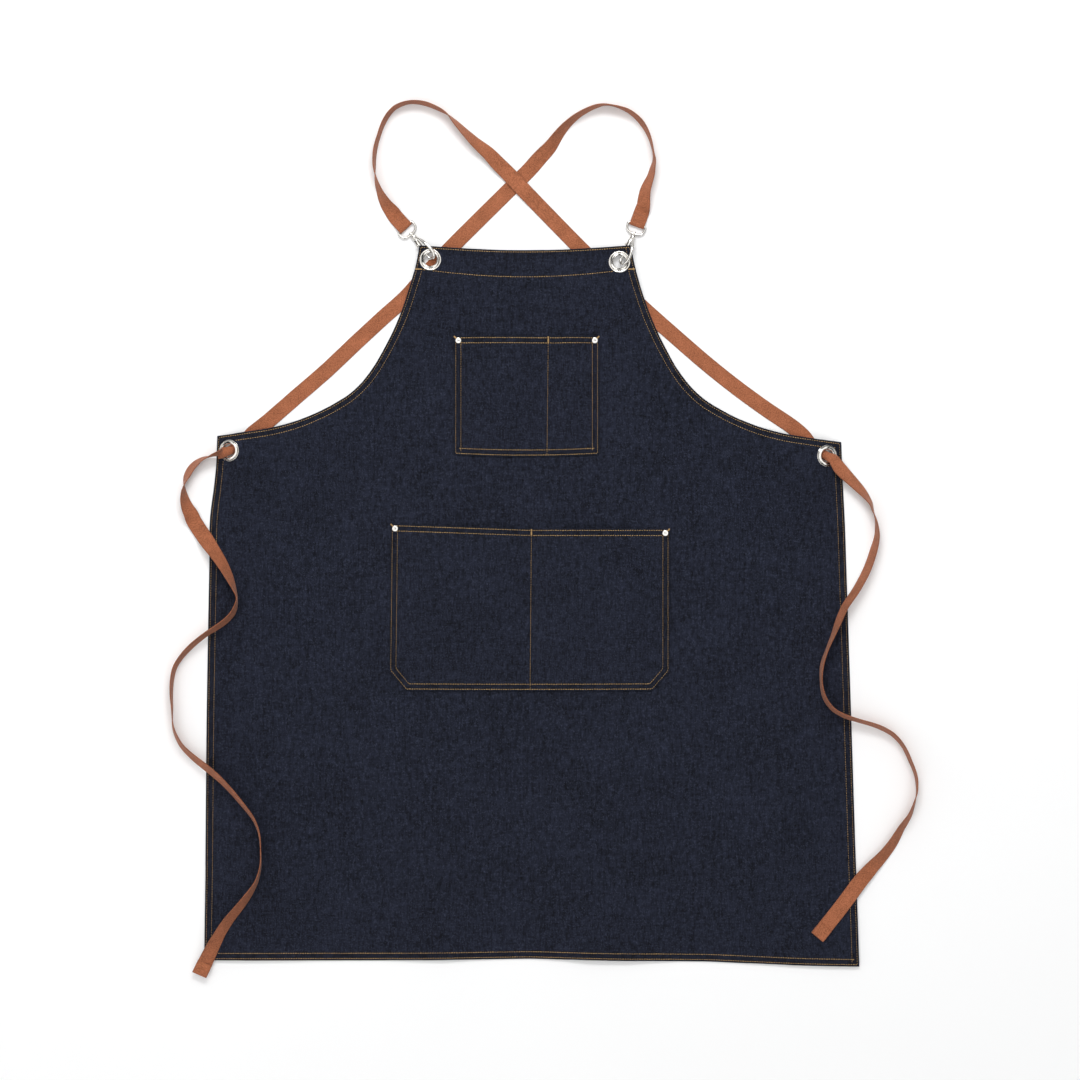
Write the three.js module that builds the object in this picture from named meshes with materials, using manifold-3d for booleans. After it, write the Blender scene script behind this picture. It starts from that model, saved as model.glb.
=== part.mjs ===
// Cross back apron: a denim bib apron lying face up with its two crossed tape straps.
// Millimetres. X across the apron, Y up towards the bib, Z up from the surface that it lies on.
// The heights below are taken from that surface. At the end the whole apron is lowered by the turned
// hem's thickness, so that the origin is in the middle of the denim's back face.

import * as THREE from 'three';
import { mergeVertices } from 'three/addons/utils/BufferGeometryUtils.js';
import Module from 'manifold-3d';

const wasm = await Module();
wasm.setup();

// Clearance between pieces that touch
const GAP = 0.3;

// Denim body
const BODY_LENGTH = 895;
const HEM_WIDTH = 818;
const CORNER_WIDTH = 779.5;
const TOP_WIDTH = 264;
const SIDE_LENGTH = 653.5;
const HEM_SHIFT = 2;
const TOP_SHIFT = -6;
const CORNER_SHIFT = -1;
const CORNER_SKEW = 4;
const TOP_DIP = 5.5;
const HEM_SAG = 5;
const LEFT_BOW = 6;
const RIGHT_BOW = 1;
const CLOTH = 1.0;
const HEM_LAYERS = 1.2;
const HEM_DEPTH = 10;
const BAND_DEPTH = 31;

// Patch pockets
const CHEST_WIDTH = 181;
const CHEST_DEPTH = 148;
const CHEST_DROP = 113;
const HAND_WIDTH = 348;
const HAND_DEPTH = 202;
const HAND_DROP = 353.5;
const POCKET_HEM = 8;
const MOUTH_HEM = 10;
const MOUTH_GAPE = 5.2;
const CROWN_INSET = 10.5;

// Grommets and rivets
const GROMMET_BORE = 16;
const GROMMET_OUTER = 27;
const BARREL_WALL = 0.7;
const FLANGE_HEIGHT = 1.2;
const WASHER_THICKNESS = 0.8;
const SIDE_TILT = THREE.MathUtils.degToRad(20);
const RIVET_CAP = 7.5;
const RIVET_CAP_HEIGHT = 1.3;
const RIVET_POST = 2.4;
const RIVET_BACK = 6.4;
const RIVET_INSET = 5.3;

// Tape straps
const STRAP_WIDTH = 19;
const STRAP_THICKNESS = 1.2;
const STRAP_FOLD = 17;
const STRAP_IN_BORE = 0.6;

// Swivel snap hooks
const HOOK_REACH = 34.8;
const HOOK_AXIS_HEIGHT = 3.6;
const COLLAR_RADIUS = 3.4;
const COLLAR_LENGTH = 5.2;
const BARREL_RADIUS = 3.0;
const BARREL_END = 14.1;
const BOLT_RADIUS = 1.4;
const BOLT_TRAVEL = 6;
const ARM_RADIUS = 1.5;
const EYE_WIRE = 1.4;
const EYE_HALF_WIDTH = 11.3;
const EYE_DEPTH = 12;
const BALL_RADIUS = 1.9;
const EYE_NECK = 1.1;

// Worked out from the sizes above
const BOTTOM = -BODY_LENGTH / 2;
const TOP = BODY_LENGTH / 2;
const HEM_TOTAL = CLOTH + HEM_LAYERS;
const HOLE_RADIUS = GROMMET_BORE / 2 + BARREL_WALL + GAP;
const FLANGE_RADIUS = GROMMET_OUTER / 2;
const WASHER_RADIUS = FLANGE_RADIUS - 0.7;
const WASHER_DEPTH = GAP + WASHER_THICKNESS;
const HOOK_LIFT = HOOK_AXIS_HEIGHT + ARM_RADIUS + WASHER_DEPTH + 2.7 * GAP;
const STRAP_LIFT = STRAP_THICKNESS + 2 * GAP;
const STRAP_ON_CLOTH = HEM_TOTAL + 3 * GAP;

const DENIM = new THREE.MeshStandardMaterial({ color: '#262a3a', roughness: 0.9, metalness: 0 });
const TAPE = new THREE.MeshStandardMaterial({ color: '#a5654a', roughness: 0.85, metalness: 0 });
const NICKEL = new THREE.MeshStandardMaterial({ color: '#c9c6c0', roughness: 0.22, metalness: 1 });

// Small helpers

function smooth(low, high, value) {
  const t = THREE.MathUtils.clamp((value - low) / (high - low), 0, 1);
  return t * t * (3 - 2 * t);
}

function mix(a, b, share) {
  return a + (b - a) * share;
}

// Reads a table of rows by its first named column and mixes the second
function readTable(table, column, value, result) {
  const next = Math.max(1, table.findIndex((row) => row[column] >= value));
  const high = table[next];
  const low = table[next - 1];
  const share = THREE.MathUtils.clamp((value - low[column]) / (high[column] - low[column]), 0, 1);
  return mix(low[result], high[result], share);
}

function polar(from, angle, distance) {
  return new THREE.Vector2(from.x + distance * Math.cos(angle), from.y + distance * Math.sin(angle));
}

// Welds a geometry into one closed body whose faces point outwards
function closedBody(geometry) {
  const bare = geometry.clone();
  bare.deleteAttribute('normal');
  bare.deleteAttribute('uv');
  const welded = mergeVertices(bare, 1e-4);
  const position = welded.attributes.position;
  const corners = Array.from(welded.index.array);
  const kept = [];
  let volume = 0;
  const a = new THREE.Vector3();
  const b = new THREE.Vector3();
  const c = new THREE.Vector3();
  for (let i = 0; i < corners.length; i += 3) {
    const [i0, i1, i2] = corners.slice(i, i + 3);
    if (i0 === i1 || i1 === i2 || i2 === i0) continue;
    kept.push(i0, i1, i2);
    a.fromBufferAttribute(position, i0);
    b.fromBufferAttribute(position, i1);
    c.fromBufferAttribute(position, i2);
    volume += a.dot(b.cross(c));
  }
  welded.setIndex(volume < 0 ? kept.reverse() : kept);
  return welded;
}

function toSolid(geometry) {
  const welded = closedBody(geometry);
  return new wasm.Manifold(new wasm.Mesh({
    numProp: 3,
    vertProperties: new Float32Array(welded.attributes.position.array),
    triVerts: new Uint32Array(welded.index.array),
  }));
}

function toGeometry(solid) {
  const mesh = solid.getMesh();
  const geometry = new THREE.BufferGeometry();
  geometry.setAttribute('position', new THREE.BufferAttribute(new Float32Array(mesh.vertProperties), 3));
  geometry.setIndex(new THREE.BufferAttribute(new Uint32Array(mesh.triVerts), 1));
  return geometry;
}

function joinAll(geometries) {
  return geometries.map(toSolid).reduce((whole, piece) => whole.add(piece));
}

function cutAll(solid, geometries) {
  return geometries.map(toSolid).reduce((whole, cutter) => whole.subtract(cutter), solid);
}

function meshOf(name, geometry, material) {
  const mesh = new THREE.Mesh(closedBody(geometry), material);
  mesh.name = name;
  return mesh;
}

// A turned piece about Z from a profile of [radius, height] corners that closes on itself
function turned(profile, segments) {
  const points = [...profile, profile[0]].map(([radius, height]) => new THREE.Vector2(radius, height));
  return new THREE.LatheGeometry(points, segments).rotateX(Math.PI / 2);
}

// A round bar along X
function bar(radius, start, end, segments = 16) {
  return new THREE.CylinderGeometry(radius, radius, end - start, segments)
    .rotateZ(Math.PI / 2)
    .translate((start + end) / 2, 0, 0);
}

// A skin over a grid of points: rows of equal length, the last row joined to the first where closed
function gridFaces(rows, columns, wrapRows, wrapColumns, faces) {
  const rowEnd = wrapRows ? rows : rows - 1;
  const columnEnd = wrapColumns ? columns : columns - 1;
  for (let row = 0; row < rowEnd; row += 1) {
    for (let column = 0; column < columnEnd; column += 1) {
      const a = row * columns + column;
      const b = row * columns + (column + 1) % columns;
      const c = ((row + 1) % rows) * columns + (column + 1) % columns;
      const d = ((row + 1) % rows) * columns + column;
      faces.push(a, b, c, a, c, d);
    }
  }
}

function apart(points, one, two) {
  return Math.hypot(...points[one].map((value, axis) => value - points[two][axis]));
}

// Splits a four-sided face along its shorter diagonal
function shorterSplit(points, [a, b, c, d]) {
  return apart(points, a, c) <= apart(points, b, d) ? [a, b, c, a, c, d] : [a, b, d, b, c, d];
}

// Faces along a tape of four-cornered rows. Both broad sides are split along the same diagonal, so that
// they stay one thickness apart where the tape twists.
function tapeFaces(points, rows, faces) {
  for (let row = 0; row < rows - 1; row += 1) {
    const first = row * 4;
    const rising = apart(points, first, first + 5) <= apart(points, first + 1, first + 4);
    for (let side = 0; side < 4; side += 1) {
      const a = first + side;
      const b = first + (side + 1) % 4;
      const c = b + 4;
      const d = a + 4;
      const split = side === 2 ? !rising : rising;
      faces.push(...(split ? [a, b, c, a, c, d] : [a, b, d, b, c, d]));
    }
  }
}

function geometryOf(points, faces) {
  const geometry = new THREE.BufferGeometry();
  geometry.setAttribute('position', new THREE.Float32BufferAttribute(points.flat(), 3));
  geometry.setIndex(faces);
  return geometry;
}

// Sweeps a convex section through stations of { at, across, through }, two of them its axes
function sweep(stations, section, loop = false) {
  const points = [];
  for (const { at, across, through, narrow = 1 } of stations) {
    for (const [u, v] of section) {
      const point = at.clone().addScaledVector(across, u * narrow).addScaledVector(through, v);
      points.push(point.toArray());
    }
  }
  const faces = [];
  const sides = section.length;
  if (sides === 4) tapeFaces(points, stations.length, faces);
  else gridFaces(stations.length, sides, loop, true, faces);
  if (!loop) {
    const last = (stations.length - 1) * sides;
    for (let corner = 1; corner < sides - 1; corner += 1) {
      faces.push(0, corner + 1, corner);
      faces.push(last, last + corner, last + corner + 1);
    }
  }
  return geometryOf(points, faces);
}

function roundSection(radius, sides = 8) {
  return Array.from({ length: sides }, (_, side) => {
    const angle = (side / sides) * 2 * Math.PI;
    return [radius * Math.cos(angle), radius * Math.sin(angle)];
  });
}

// A wire through points, its section carried along without twisting
function wire(points, radius, loop = false) {
  const count = points.length;
  let across = null;
  const stations = points.map((at, index) => {
    const before = loop ? points[(index + count - 1) % count] : points[Math.max(0, index - 1)];
    const after = loop ? points[(index + 1) % count] : points[Math.min(count - 1, index + 1)];
    const along = after.clone().sub(before).normalize();
    if (across === null) across = new THREE.Vector3(0, 0, 1).cross(along).normalize();
    across = across.clone().addScaledVector(along, -across.dot(along)).normalize();
    return { at, across, through: along.clone().cross(across) };
  });
  return sweep(stations, roundSection(radius), loop);
}

// Outline of the denim body

// Share of the way from the side corner in to the bib's corner, and up to it
const ARMHOLE = [
  { inward: 0.00, up: 0.000 }, { inward: 0.13, up: 0.018 }, { inward: 0.30, up: 0.050 },
  { inward: 0.40, up: 0.082 }, { inward: 0.50, up: 0.126 }, { inward: 0.58, up: 0.170 },
  { inward: 0.655, up: 0.222 }, { inward: 0.72, up: 0.288 }, { inward: 0.77, up: 0.358 },
  { inward: 0.825, up: 0.458 }, { inward: 0.875, up: 0.563 }, { inward: 0.915, up: 0.665 },
  { inward: 0.95, up: 0.775 }, { inward: 0.976, up: 0.868 }, { inward: 0.99, up: 0.935 },
];

// Share of the side seam from its corner down, and of the seam's bow
const SIDE_BOW = [
  { down: 0, bow: 0 }, { down: 0.03, bow: 0.02 }, { down: 0.06, bow: 0.1 }, { down: 0.1, bow: 0.45 },
  { down: 0.15, bow: 1 }, { down: 0.25, bow: 0.95 }, { down: 0.4, bow: 0.85 }, { down: 0.55, bow: 0.7 },
  { down: 0.75, bow: 0.35 }, { down: 0.83, bow: 0.2 }, { down: 0.91, bow: 0.1 }, { down: 1, bow: 0 },
];

// Share of the hem from the left, and of the hem's sag: up where it is pulled short
const HEM_RISE = [
  { across: 0, rise: 0.5 }, { across: 0.3, rise: 0.5 }, { across: 0.5, rise: 0.9 },
  { across: 0.62, rise: 0.5 }, { across: 0.77, rise: 0.2 }, { across: 0.84, rise: -0.3 },
  { across: 0.92, rise: -0.8 }, { across: 1, rise: -1 },
];
const HEM_STEPS = 22;
const TOP_STEPS = 8;

function topCorner(side) {
  return new THREE.Vector2(side * TOP_WIDTH / 2 + TOP_SHIFT, TOP);
}

function sideCorner(side) {
  const x = side * CORNER_WIDTH / 2 + CORNER_SHIFT;
  return new THREE.Vector2(x, BOTTOM + SIDE_LENGTH - side * CORNER_SKEW);
}

function hemPoint(share) {
  const x = (share - 0.5) * HEM_WIDTH + HEM_SHIFT;
  return new THREE.Vector2(x, BOTTOM + HEM_SAG * readTable(HEM_RISE, 'across', share, 'rise'));
}

function topPoint(share) {
  const left = topCorner(-1);
  const right = topCorner(1);
  const dip = TOP_DIP * (1 - (2 * share - 1) ** 2);
  return new THREE.Vector2(mix(left.x, right.x, share), TOP - dip);
}

function armholePoint(side, row) {
  const corner = sideCorner(side);
  const top = topCorner(side);
  return new THREE.Vector2(mix(corner.x, top.x, row.inward), mix(corner.y, top.y, row.up));
}

function sidePoint(side, row) {
  const corner = sideCorner(side);
  const foot = hemPoint(side < 0 ? 0 : 1);
  const out = side * (side < 0 ? LEFT_BOW : RIGHT_BOW) * row.bow;
  return new THREE.Vector2(mix(corner.x, foot.x, row.down) + out, mix(corner.y, foot.y, row.down));
}

// Anticlockwise from the hem's left end; the bib's corners and top are marked as band
function bodyOutline() {
  const points = [];
  for (let step = 0; step <= HEM_STEPS; step += 1) points.push({ at: hemPoint(step / HEM_STEPS) });
  const sideRows = SIDE_BOW.slice(1, -1);
  for (const row of [...sideRows].reverse()) points.push({ at: sidePoint(1, row) });
  for (const row of ARMHOLE) points.push({ at: armholePoint(1, row) });
  for (let step = TOP_STEPS; step >= 0; step -= 1) points.push({ at: topPoint(step / TOP_STEPS) });
  for (const row of [...ARMHOLE].reverse()) points.push({ at: armholePoint(-1, row) });
  for (const row of sideRows) points.push({ at: sidePoint(-1, row) });
  for (const point of points) point.band = point.at.y > TOP - BAND_DEPTH;
  return points;
}

// The line where a border of the given depth ends, its corners mitred
function mitredInset(outline, index, depth) {
  const count = outline.length;
  const before = outline[(index + count - 1) % count].at;
  const here = outline[index].at;
  const after = outline[(index + 1) % count].at;
  const first = here.clone().sub(before).normalize();
  const second = after.clone().sub(here).normalize();
  const normal = new THREE.Vector2(-first.y - second.y, first.x + second.x).normalize();
  const stretch = Math.max(0.5, normal.dot(new THREE.Vector2(-first.y, first.x)));
  return here.clone().addScaledVector(normal, depth / stretch);
}

// The band's lower edge, taken from the right end to the left
function bandLine(share) {
  const left = mix(sideCorner(-1).x, topCorner(-1).x, 0.978) + HEM_DEPTH;
  const right = mix(sideCorner(1).x, topCorner(1).x, 0.978) - HEM_DEPTH;
  const dip = TOP_DIP * (1 - (2 * share - 1) ** 2);
  return new THREE.Vector2(mix(right, left, share), TOP - BAND_DEPTH - dip);
}

function innerLine(outline) {
  const band = outline.map((point, index) => (point.band ? index : -1)).filter((index) => index >= 0);
  const first = band[0];
  const last = band[band.length - 1];
  const reach = [0];
  for (let index = first + 1; index <= last; index += 1) {
    reach.push(reach[reach.length - 1] + outline[index].at.distanceTo(outline[index - 1].at));
  }
  const whole = reach[reach.length - 1];
  return outline.map((point, index) => {
    if (point.band) return bandLine(reach[index - first] / whole);
    return mitredInset(outline, index, HEM_DEPTH);
  });
}

// Grommet places: inset from the nearest side, drop below the corner, and at the top the directions of
// the hook and of its eye and the point that the strap's loop is measured from
const GROMMETS = [
  {
    name: 'top_left', side: -1, top: true, inset: 13.75, drop: 17.75,
    hookAngle: -54, eyeAngle: -48, loopX: -25, loopY: 34.2,
  },
  {
    name: 'top_right', side: 1, top: true, inset: 14.4, drop: 20.5,
    hookAngle: -118, eyeAngle: -110, loopX: 20.8, loopY: 38,
  },
  { name: 'side_left', side: -1, top: false, inset: 15.5, drop: 18.3 },
  { name: 'side_right', side: 1, top: false, inset: 18.3, drop: 17 },
];

function grommetCentre(grommet) {
  const corner = grommet.top ? topCorner(grommet.side) : sideCorner(grommet.side);
  return new THREE.Vector2(corner.x - grommet.side * grommet.inset, corner.y - grommet.drop);
}

const GROMMET_AT = Object.fromEntries(GROMMETS.map((grommet) => [grommet.name, grommetCentre(grommet)]));

// Where each strap passes under the bib: in at the top edge, at a share of its width from the middle, and
// out at the armhole
const HIDDEN_RUNS = [
  { from: 'strap_from_left_hook', across: 0.25, side: 1 },
  { from: 'strap_from_right_hook', across: -0.343, side: -1 },
];
const RUN_EXITS = [
  { inward: 0.905, up: 0.638 },
  { inward: 0.943, up: 0.75 },
];

function runEnds(index) {
  const run = HIDDEN_RUNS[index];
  const enter = new THREE.Vector2(run.across * TOP_WIDTH + TOP_SHIFT, TOP);
  return [enter, armholePoint(run.side, RUN_EXITS[index])];
}

function distanceToSegment(point, start, end) {
  const along = end.clone().sub(start);
  const share = THREE.MathUtils.clamp(point.clone().sub(start).dot(along) / along.lengthSq(), 0, 1);
  return point.distanceTo(start.clone().addScaledVector(along, share));
}

// Heights of the cloth over what lies beneath it

const RIDGE_AT = 34;
const RIDGE_END = 110;

// The side corners tip outwards, where the strap comes up from underneath
function cornerRidge(point, side) {
  const inward = side * (sideCorner(side).x - point.x);
  const centre = GROMMET_AT[side < 0 ? 'side_left' : 'side_right'];
  const slope = Math.tan(SIDE_TILT);
  const near = Math.max(0, Math.min(inward, RIDGE_AT)) * slope;
  const fadeInwards = 1 - smooth(RIDGE_AT, RIDGE_END, inward);
  const fadeAlong = 1 - smooth(26, 90, Math.abs(point.y - centre.y));
  return near * fadeInwards * fadeAlong;
}

// Low waves in the free hem: share along it, share of its width each way, and height
const HEM_WAVES = [
  { across: 0.07, spread: 0.16, height: 2.5 },
  { across: 0.36, spread: 0.08, height: 3 },
  { across: 0.62, spread: 0.11, height: 6 },
  { across: 0.985, spread: 0.2, height: 3.5 },
];

function hemWave(point) {
  const share = (point.x - HEM_SHIFT) / HEM_WIDTH + 0.5;
  const fade = 1 - smooth(0, 0.2 * BODY_LENGTH, point.y - BOTTOM);
  let height = 0;
  for (const wave of HEM_WAVES) {
    const away = Math.abs(share - wave.across) / wave.spread;
    height += wave.height * (1 - smooth(0, 1, away));
  }
  return height * fade;
}

function liftAt(point) {
  let lift = Math.max(hemWave(point), cornerRidge(point, -1), cornerRidge(point, 1));
  for (const name of ['top_left', 'top_right']) {
    lift = Math.max(lift, HOOK_LIFT * (1 - smooth(30, 86, point.distanceTo(GROMMET_AT[name]))));
  }
  for (let index = 0; index < HIDDEN_RUNS.length; index += 1) {
    const away = distanceToSegment(point, ...runEnds(index));
    lift = Math.max(lift, STRAP_LIFT * (1 - smooth(16, 62, away)));
  }
  return lift;
}

// Denim body: rings from the edge inwards, a flat middle, hems folded to the back

const RIDGE_RING = 22;
const FLAT_RING = 0.42;
const SPINE_LOW = BOTTOM + 0.16 * BODY_LENGTH;
const SPINE_HIGH = TOP - 0.148 * BODY_LENGTH;

function towardsSpine(point, step) {
  const target = new THREE.Vector2(0, THREE.MathUtils.clamp(point.y, SPINE_LOW, SPINE_HIGH));
  const along = target.sub(point);
  return point.clone().addScaledVector(along, step <= 1 ? step : step / along.length());
}

function bodyGeometry() {
  const outline = bodyOutline();
  const edge = outline.map((point) => point.at);
  const inner = innerLine(outline);
  const ridge = inner.map((point) => towardsSpine(point, RIDGE_RING));
  const flat = inner.map((point) => towardsSpine(point, FLAT_RING));
  const count = edge.length;
  const raised = (base) => (point) => [point.x, point.y, base + liftAt(point)];
  const level = (base) => (point) => [point.x, point.y, base];
  const points = [
    ...flat.map(level(HEM_LAYERS)),
    ...ridge.map(raised(HEM_LAYERS)),
    ...inner.map(raised(HEM_LAYERS)),
    ...inner.map(raised(0)),
    ...edge.map(raised(0)),
    ...edge.map(raised(HEM_TOTAL)),
    ...inner.map(raised(HEM_TOTAL)),
    ...ridge.map(raised(HEM_TOTAL)),
    ...flat.map(level(HEM_TOTAL)),
  ];
  const rings = points.length / count;
  const faces = [];
  for (let ring = 0; ring < rings - 1; ring += 1) {
    for (let index = 0; index < count; index += 1) {
      const next = (index + 1) % count;
      const corners = [index, next, next + count, index + count].map((corner) => corner + ring * count);
      faces.push(...shorterSplit(points, corners));
    }
  }
  const upper = (rings - 1) * count;
  for (const [a, b, c] of THREE.ShapeUtils.triangulateShape(flat, [])) {
    const turnsLeft = flat[b].clone().sub(flat[a]).cross(flat[c].clone().sub(flat[a])) > 0;
    const [first, second] = turnsLeft ? [b, c] : [c, b];
    faces.push(a, second, first);
    faces.push(upper + a, upper + first, upper + second);
  }
  return geometryOf(points, faces);
}

// Frame of a grommet on the top face of the cloth, tipped outwards at the side corners
function grommetFrame(grommet) {
  const centre = GROMMET_AT[grommet.name];
  const tilt = grommet.top ? 0 : grommet.side * SIDE_TILT;
  const lift = grommet.top ? HOOK_LIFT : grommet.inset * Math.tan(SIDE_TILT);
  const frame = new THREE.Matrix4().makeRotationY(tilt);
  frame.setPosition(centre.x, centre.y, lift + HEM_TOTAL);
  return frame;
}

function upright(radius, low, high, segments = 20) {
  return new THREE.CylinderGeometry(radius, radius, high - low, segments)
    .rotateX(Math.PI / 2)
    .translate(0, 0, (low + high) / 2);
}

// Pockets

const POCKETS = [
  {
    name: 'chest_pocket', width: CHEST_WIDTH, depth: CHEST_DEPTH, drop: CHEST_DROP, shift: -4.2,
    divider: 0.65, flare: 0, mouthRise: 0, bow: 2.5, chamferAcross: 0, chamferUp: POCKET_HEM,
  },
  {
    name: 'hand_pocket', width: HAND_WIDTH, depth: HAND_DEPTH, drop: HAND_DROP, shift: 0.3,
    divider: 0.506, flare: 2.5, mouthRise: 6, bow: 0.5, chamferAcross: 21, chamferUp: 24,
  },
];
const CROWN_SHARES = [0, 0.12, 0.26, 0.5, 0.74, 0.88];
const POCKET_BASE = HEM_TOTAL + GAP;

// How far the pocket stands open, by its place across one compartment and up from the bottom
function pocketCrown(pocket, across, up) {
  const start = across < pocket.divider ? 0 : pocket.divider;
  const end = across < pocket.divider ? pocket.divider : 1;
  const border = CROWN_INSET / pocket.width;
  const place = (across - start - border) / (end - start - 2 * border);
  const sideways = smooth(0, 0.26, place) * smooth(0, 0.26, 1 - place);
  return MOUTH_GAPE * sideways * smooth(0.1, 0.62, up);
}

function pocketColumns(pocket) {
  const border = POCKET_HEM / pocket.width;
  const step = 0.8 / pocket.width;
  const columns = [0];
  for (const [start, end] of [[0, pocket.divider], [pocket.divider, 1]]) {
    const low = start + CROWN_INSET / pocket.width;
    const high = end - CROWN_INSET / pocket.width;
    if (start > 0) columns.push(start);
    for (const share of CROWN_SHARES) columns.push(mix(low, high, share));
    columns.push(high);
  }
  columns.push(1 - border, 1 - border + step, 1);
  columns.splice(1, 0, border - step, border);
  return columns;
}

function pocketRows(pocket) {
  const step = 0.8;
  const rows = [0, POCKET_HEM - step, POCKET_HEM];
  if (pocket.chamferAcross > 0) rows.push(pocket.chamferUp);
  for (const share of [0.22, 0.36, 0.5, 0.62, 0.8]) rows.push(share * pocket.depth);
  rows.push(pocket.depth - MOUTH_HEM, pocket.depth - MOUTH_HEM + step, pocket.depth);
  return rows;
}

// Place on the pocket of a share across and a height above its bottom
function pocketPlace(pocket, across, height) {
  const up = height / pocket.depth;
  const cut = pocket.chamferAcross * Math.max(0, 1 - height / pocket.chamferUp);
  const left = -pocket.width / 2 - pocket.flare * (1 - up) + cut;
  const right = pocket.width / 2 - cut;
  const rise = pocket.mouthRise * Math.max(0, 1 - 2 * across) * up;
  const sag = pocket.bow * (1 - (2 * across - 1) ** 2) * (1 - up);
  return new THREE.Vector2(
    mix(left, right, across) + pocket.shift,
    TOP - pocket.drop - pocket.depth + height + rise - sag,
  );
}

function pocketGeometry(pocket) {
  const columns = pocketColumns(pocket);
  const rows = pocketRows(pocket);
  const border = POCKET_HEM / pocket.width;
  const lower = [];
  const upper = [];
  for (const height of rows) {
    for (const across of columns) {
      const at = pocketPlace(pocket, across, height);
      const up = height / pocket.depth;
      const crown = pocketCrown(pocket, across, up);
      const onSide = across < border - 1e-6 || across > 1 - border + 1e-6;
      const onEnd = height < POCKET_HEM - 1e-6 || height > pocket.depth - MOUTH_HEM + 1e-6;
      const hemmed = onSide || onEnd;
      const sewn = !hemmed && Math.abs(across - pocket.divider) < 1e-6;
      lower.push([at.x, at.y, POCKET_BASE + crown + (hemmed || sewn ? 0 : HEM_LAYERS)]);
      upper.push([at.x, at.y, POCKET_BASE + crown + (sewn ? CLOTH : HEM_TOTAL)]);
    }
  }
  return skinPair(lower, upper, rows.length, columns.length);
}

// Joins a lower and an upper grid of the same size into one closed sheet
function skinPair(lower, upper, rows, columns) {
  const faces = [];
  const under = [];
  gridFaces(rows, columns, false, false, under);
  const offset = lower.length;
  for (let i = 0; i < under.length; i += 3) {
    faces.push(under[i], under[i + 2], under[i + 1]);
    faces.push(under[i] + offset, under[i + 1] + offset, under[i + 2] + offset);
  }
  const rim = [];
  for (let column = 0; column < columns; column += 1) rim.push(column);
  for (let row = 1; row < rows; row += 1) rim.push(row * columns + columns - 1);
  for (let column = columns - 2; column >= 0; column -= 1) rim.push((rows - 1) * columns + column);
  for (let row = rows - 2; row > 0; row -= 1) rim.push(row * columns);
  rim.forEach((here, index) => {
    const next = rim[(index + 1) % rim.length];
    faces.push(here, next, next + offset, here, next + offset, here + offset);
  });
  return geometryOf([...lower, ...upper], faces);
}

// Rivets sit in the pockets' mouth corners
function rivetPlaces() {
  const places = [];
  for (const pocket of POCKETS) {
    const share = RIVET_INSET / pocket.width;
    const height = pocket.depth - RIVET_INSET;
    const left = pocketPlace(pocket, share, height);
    const right = pocketPlace(pocket, 1 - share, height);
    places.push({ name: `rivet_${pocket.name}_left`, pocket, at: left });
    places.push({ name: `rivet_${pocket.name}_right`, pocket, at: right });
  }
  return places;
}

// Cap, post and back disc of one set rivet, its heights taken from the surface the apron lies on
function rivetGeometry() {
  const post = RIVET_POST / 2;
  const back = RIVET_BACK / 2;
  const cap = RIVET_CAP / 2;
  const backTop = HEM_LAYERS - GAP;
  const capLow = POCKET_BASE + HEM_TOTAL + GAP;
  const capHigh = capLow + RIVET_CAP_HEIGHT;
  return turned([
    [0, 0.1], [back, 0.1], [back, backTop], [post, backTop], [post, capLow], [cap, capLow],
    [cap * 0.9, mix(capLow, capHigh, 0.55)], [cap * 0.6, mix(capLow, capHigh, 0.9)], [0, capHigh],
  ], 12);
}

function pocketMesh(pocket) {
  const holes = rivetPlaces()
    .filter((rivet) => rivet.pocket === pocket)
    .map((rivet) => upright(RIVET_POST / 2 + GAP, 0, 20, 10).translate(rivet.at.x, rivet.at.y, 0));
  return meshOf(pocket.name, toGeometry(cutAll(toSolid(pocketGeometry(pocket)), holes)), DENIM);
}

function bodyMesh() {
  const cutters = GROMMETS.map((grommet) => {
    return upright(HOLE_RADIUS, -12, 12).applyMatrix4(grommetFrame(grommet));
  });
  for (const rivet of rivetPlaces()) {
    cutters.push(upright(RIVET_POST / 2 + GAP, -5, 20, 10).translate(rivet.at.x, rivet.at.y, 0));
  }
  return meshOf('body_panel', toGeometry(cutAll(toSolid(bodyGeometry()), cutters)), DENIM);
}

// Grommets: an eyelet with a rolled rim, its barrel flared into a washer behind the cloth

function eyeletGeometry() {
  const bore = GROMMET_BORE / 2;
  const outer = bore + BARREL_WALL;
  const rim = FLANGE_RADIUS;
  const crest = GAP + FLANGE_HEIGHT;
  const foot = -HEM_TOTAL - WASHER_DEPTH;
  return turned([
    [bore, foot], [outer + 0.4, foot], [outer, foot + 0.5], [outer, GAP], [rim, GAP],
    [rim - 0.3, GAP + 0.6], [rim - 1.4, crest - 0.1], [rim - 3, crest], [bore + 0.7, GAP + 0.75],
    [bore, GAP + 0.1],
  ], 16);
}

function washerGeometry() {
  const top = -HEM_TOTAL - GAP;
  const foot = top - WASHER_THICKNESS;
  return turned([
    [HOLE_RADIUS, top], [HOLE_RADIUS, top - 0.4], [HOLE_RADIUS + 0.5, foot],
    [WASHER_RADIUS - 0.5, foot], [WASHER_RADIUS, top],
  ], 16);
}

function grommetMeshes(grommet) {
  const pieces = [
    meshOf(`eyelet_${grommet.name}`, eyeletGeometry(), NICKEL),
    meshOf(`washer_${grommet.name}`, washerGeometry(), NICKEL),
  ];
  for (const piece of pieces) piece.applyMatrix4(grommetFrame(grommet));
  return pieces;
}

// Snap hooks: local X from the swivel ball to the grommet, Z up, heights from the hook's axis

function hookFrame(grommet, angleName) {
  const hole = GROMMET_AT[grommet.name];
  const hookAngle = THREE.MathUtils.degToRad(grommet.hookAngle);
  const ball = polar(hole, hookAngle, -HOOK_REACH);
  const frame = new THREE.Matrix4().makeRotationZ(THREE.MathUtils.degToRad(grommet[angleName]));
  frame.setPosition(ball.x, ball.y, HOOK_AXIS_HEIGHT);
  return frame;
}

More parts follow.
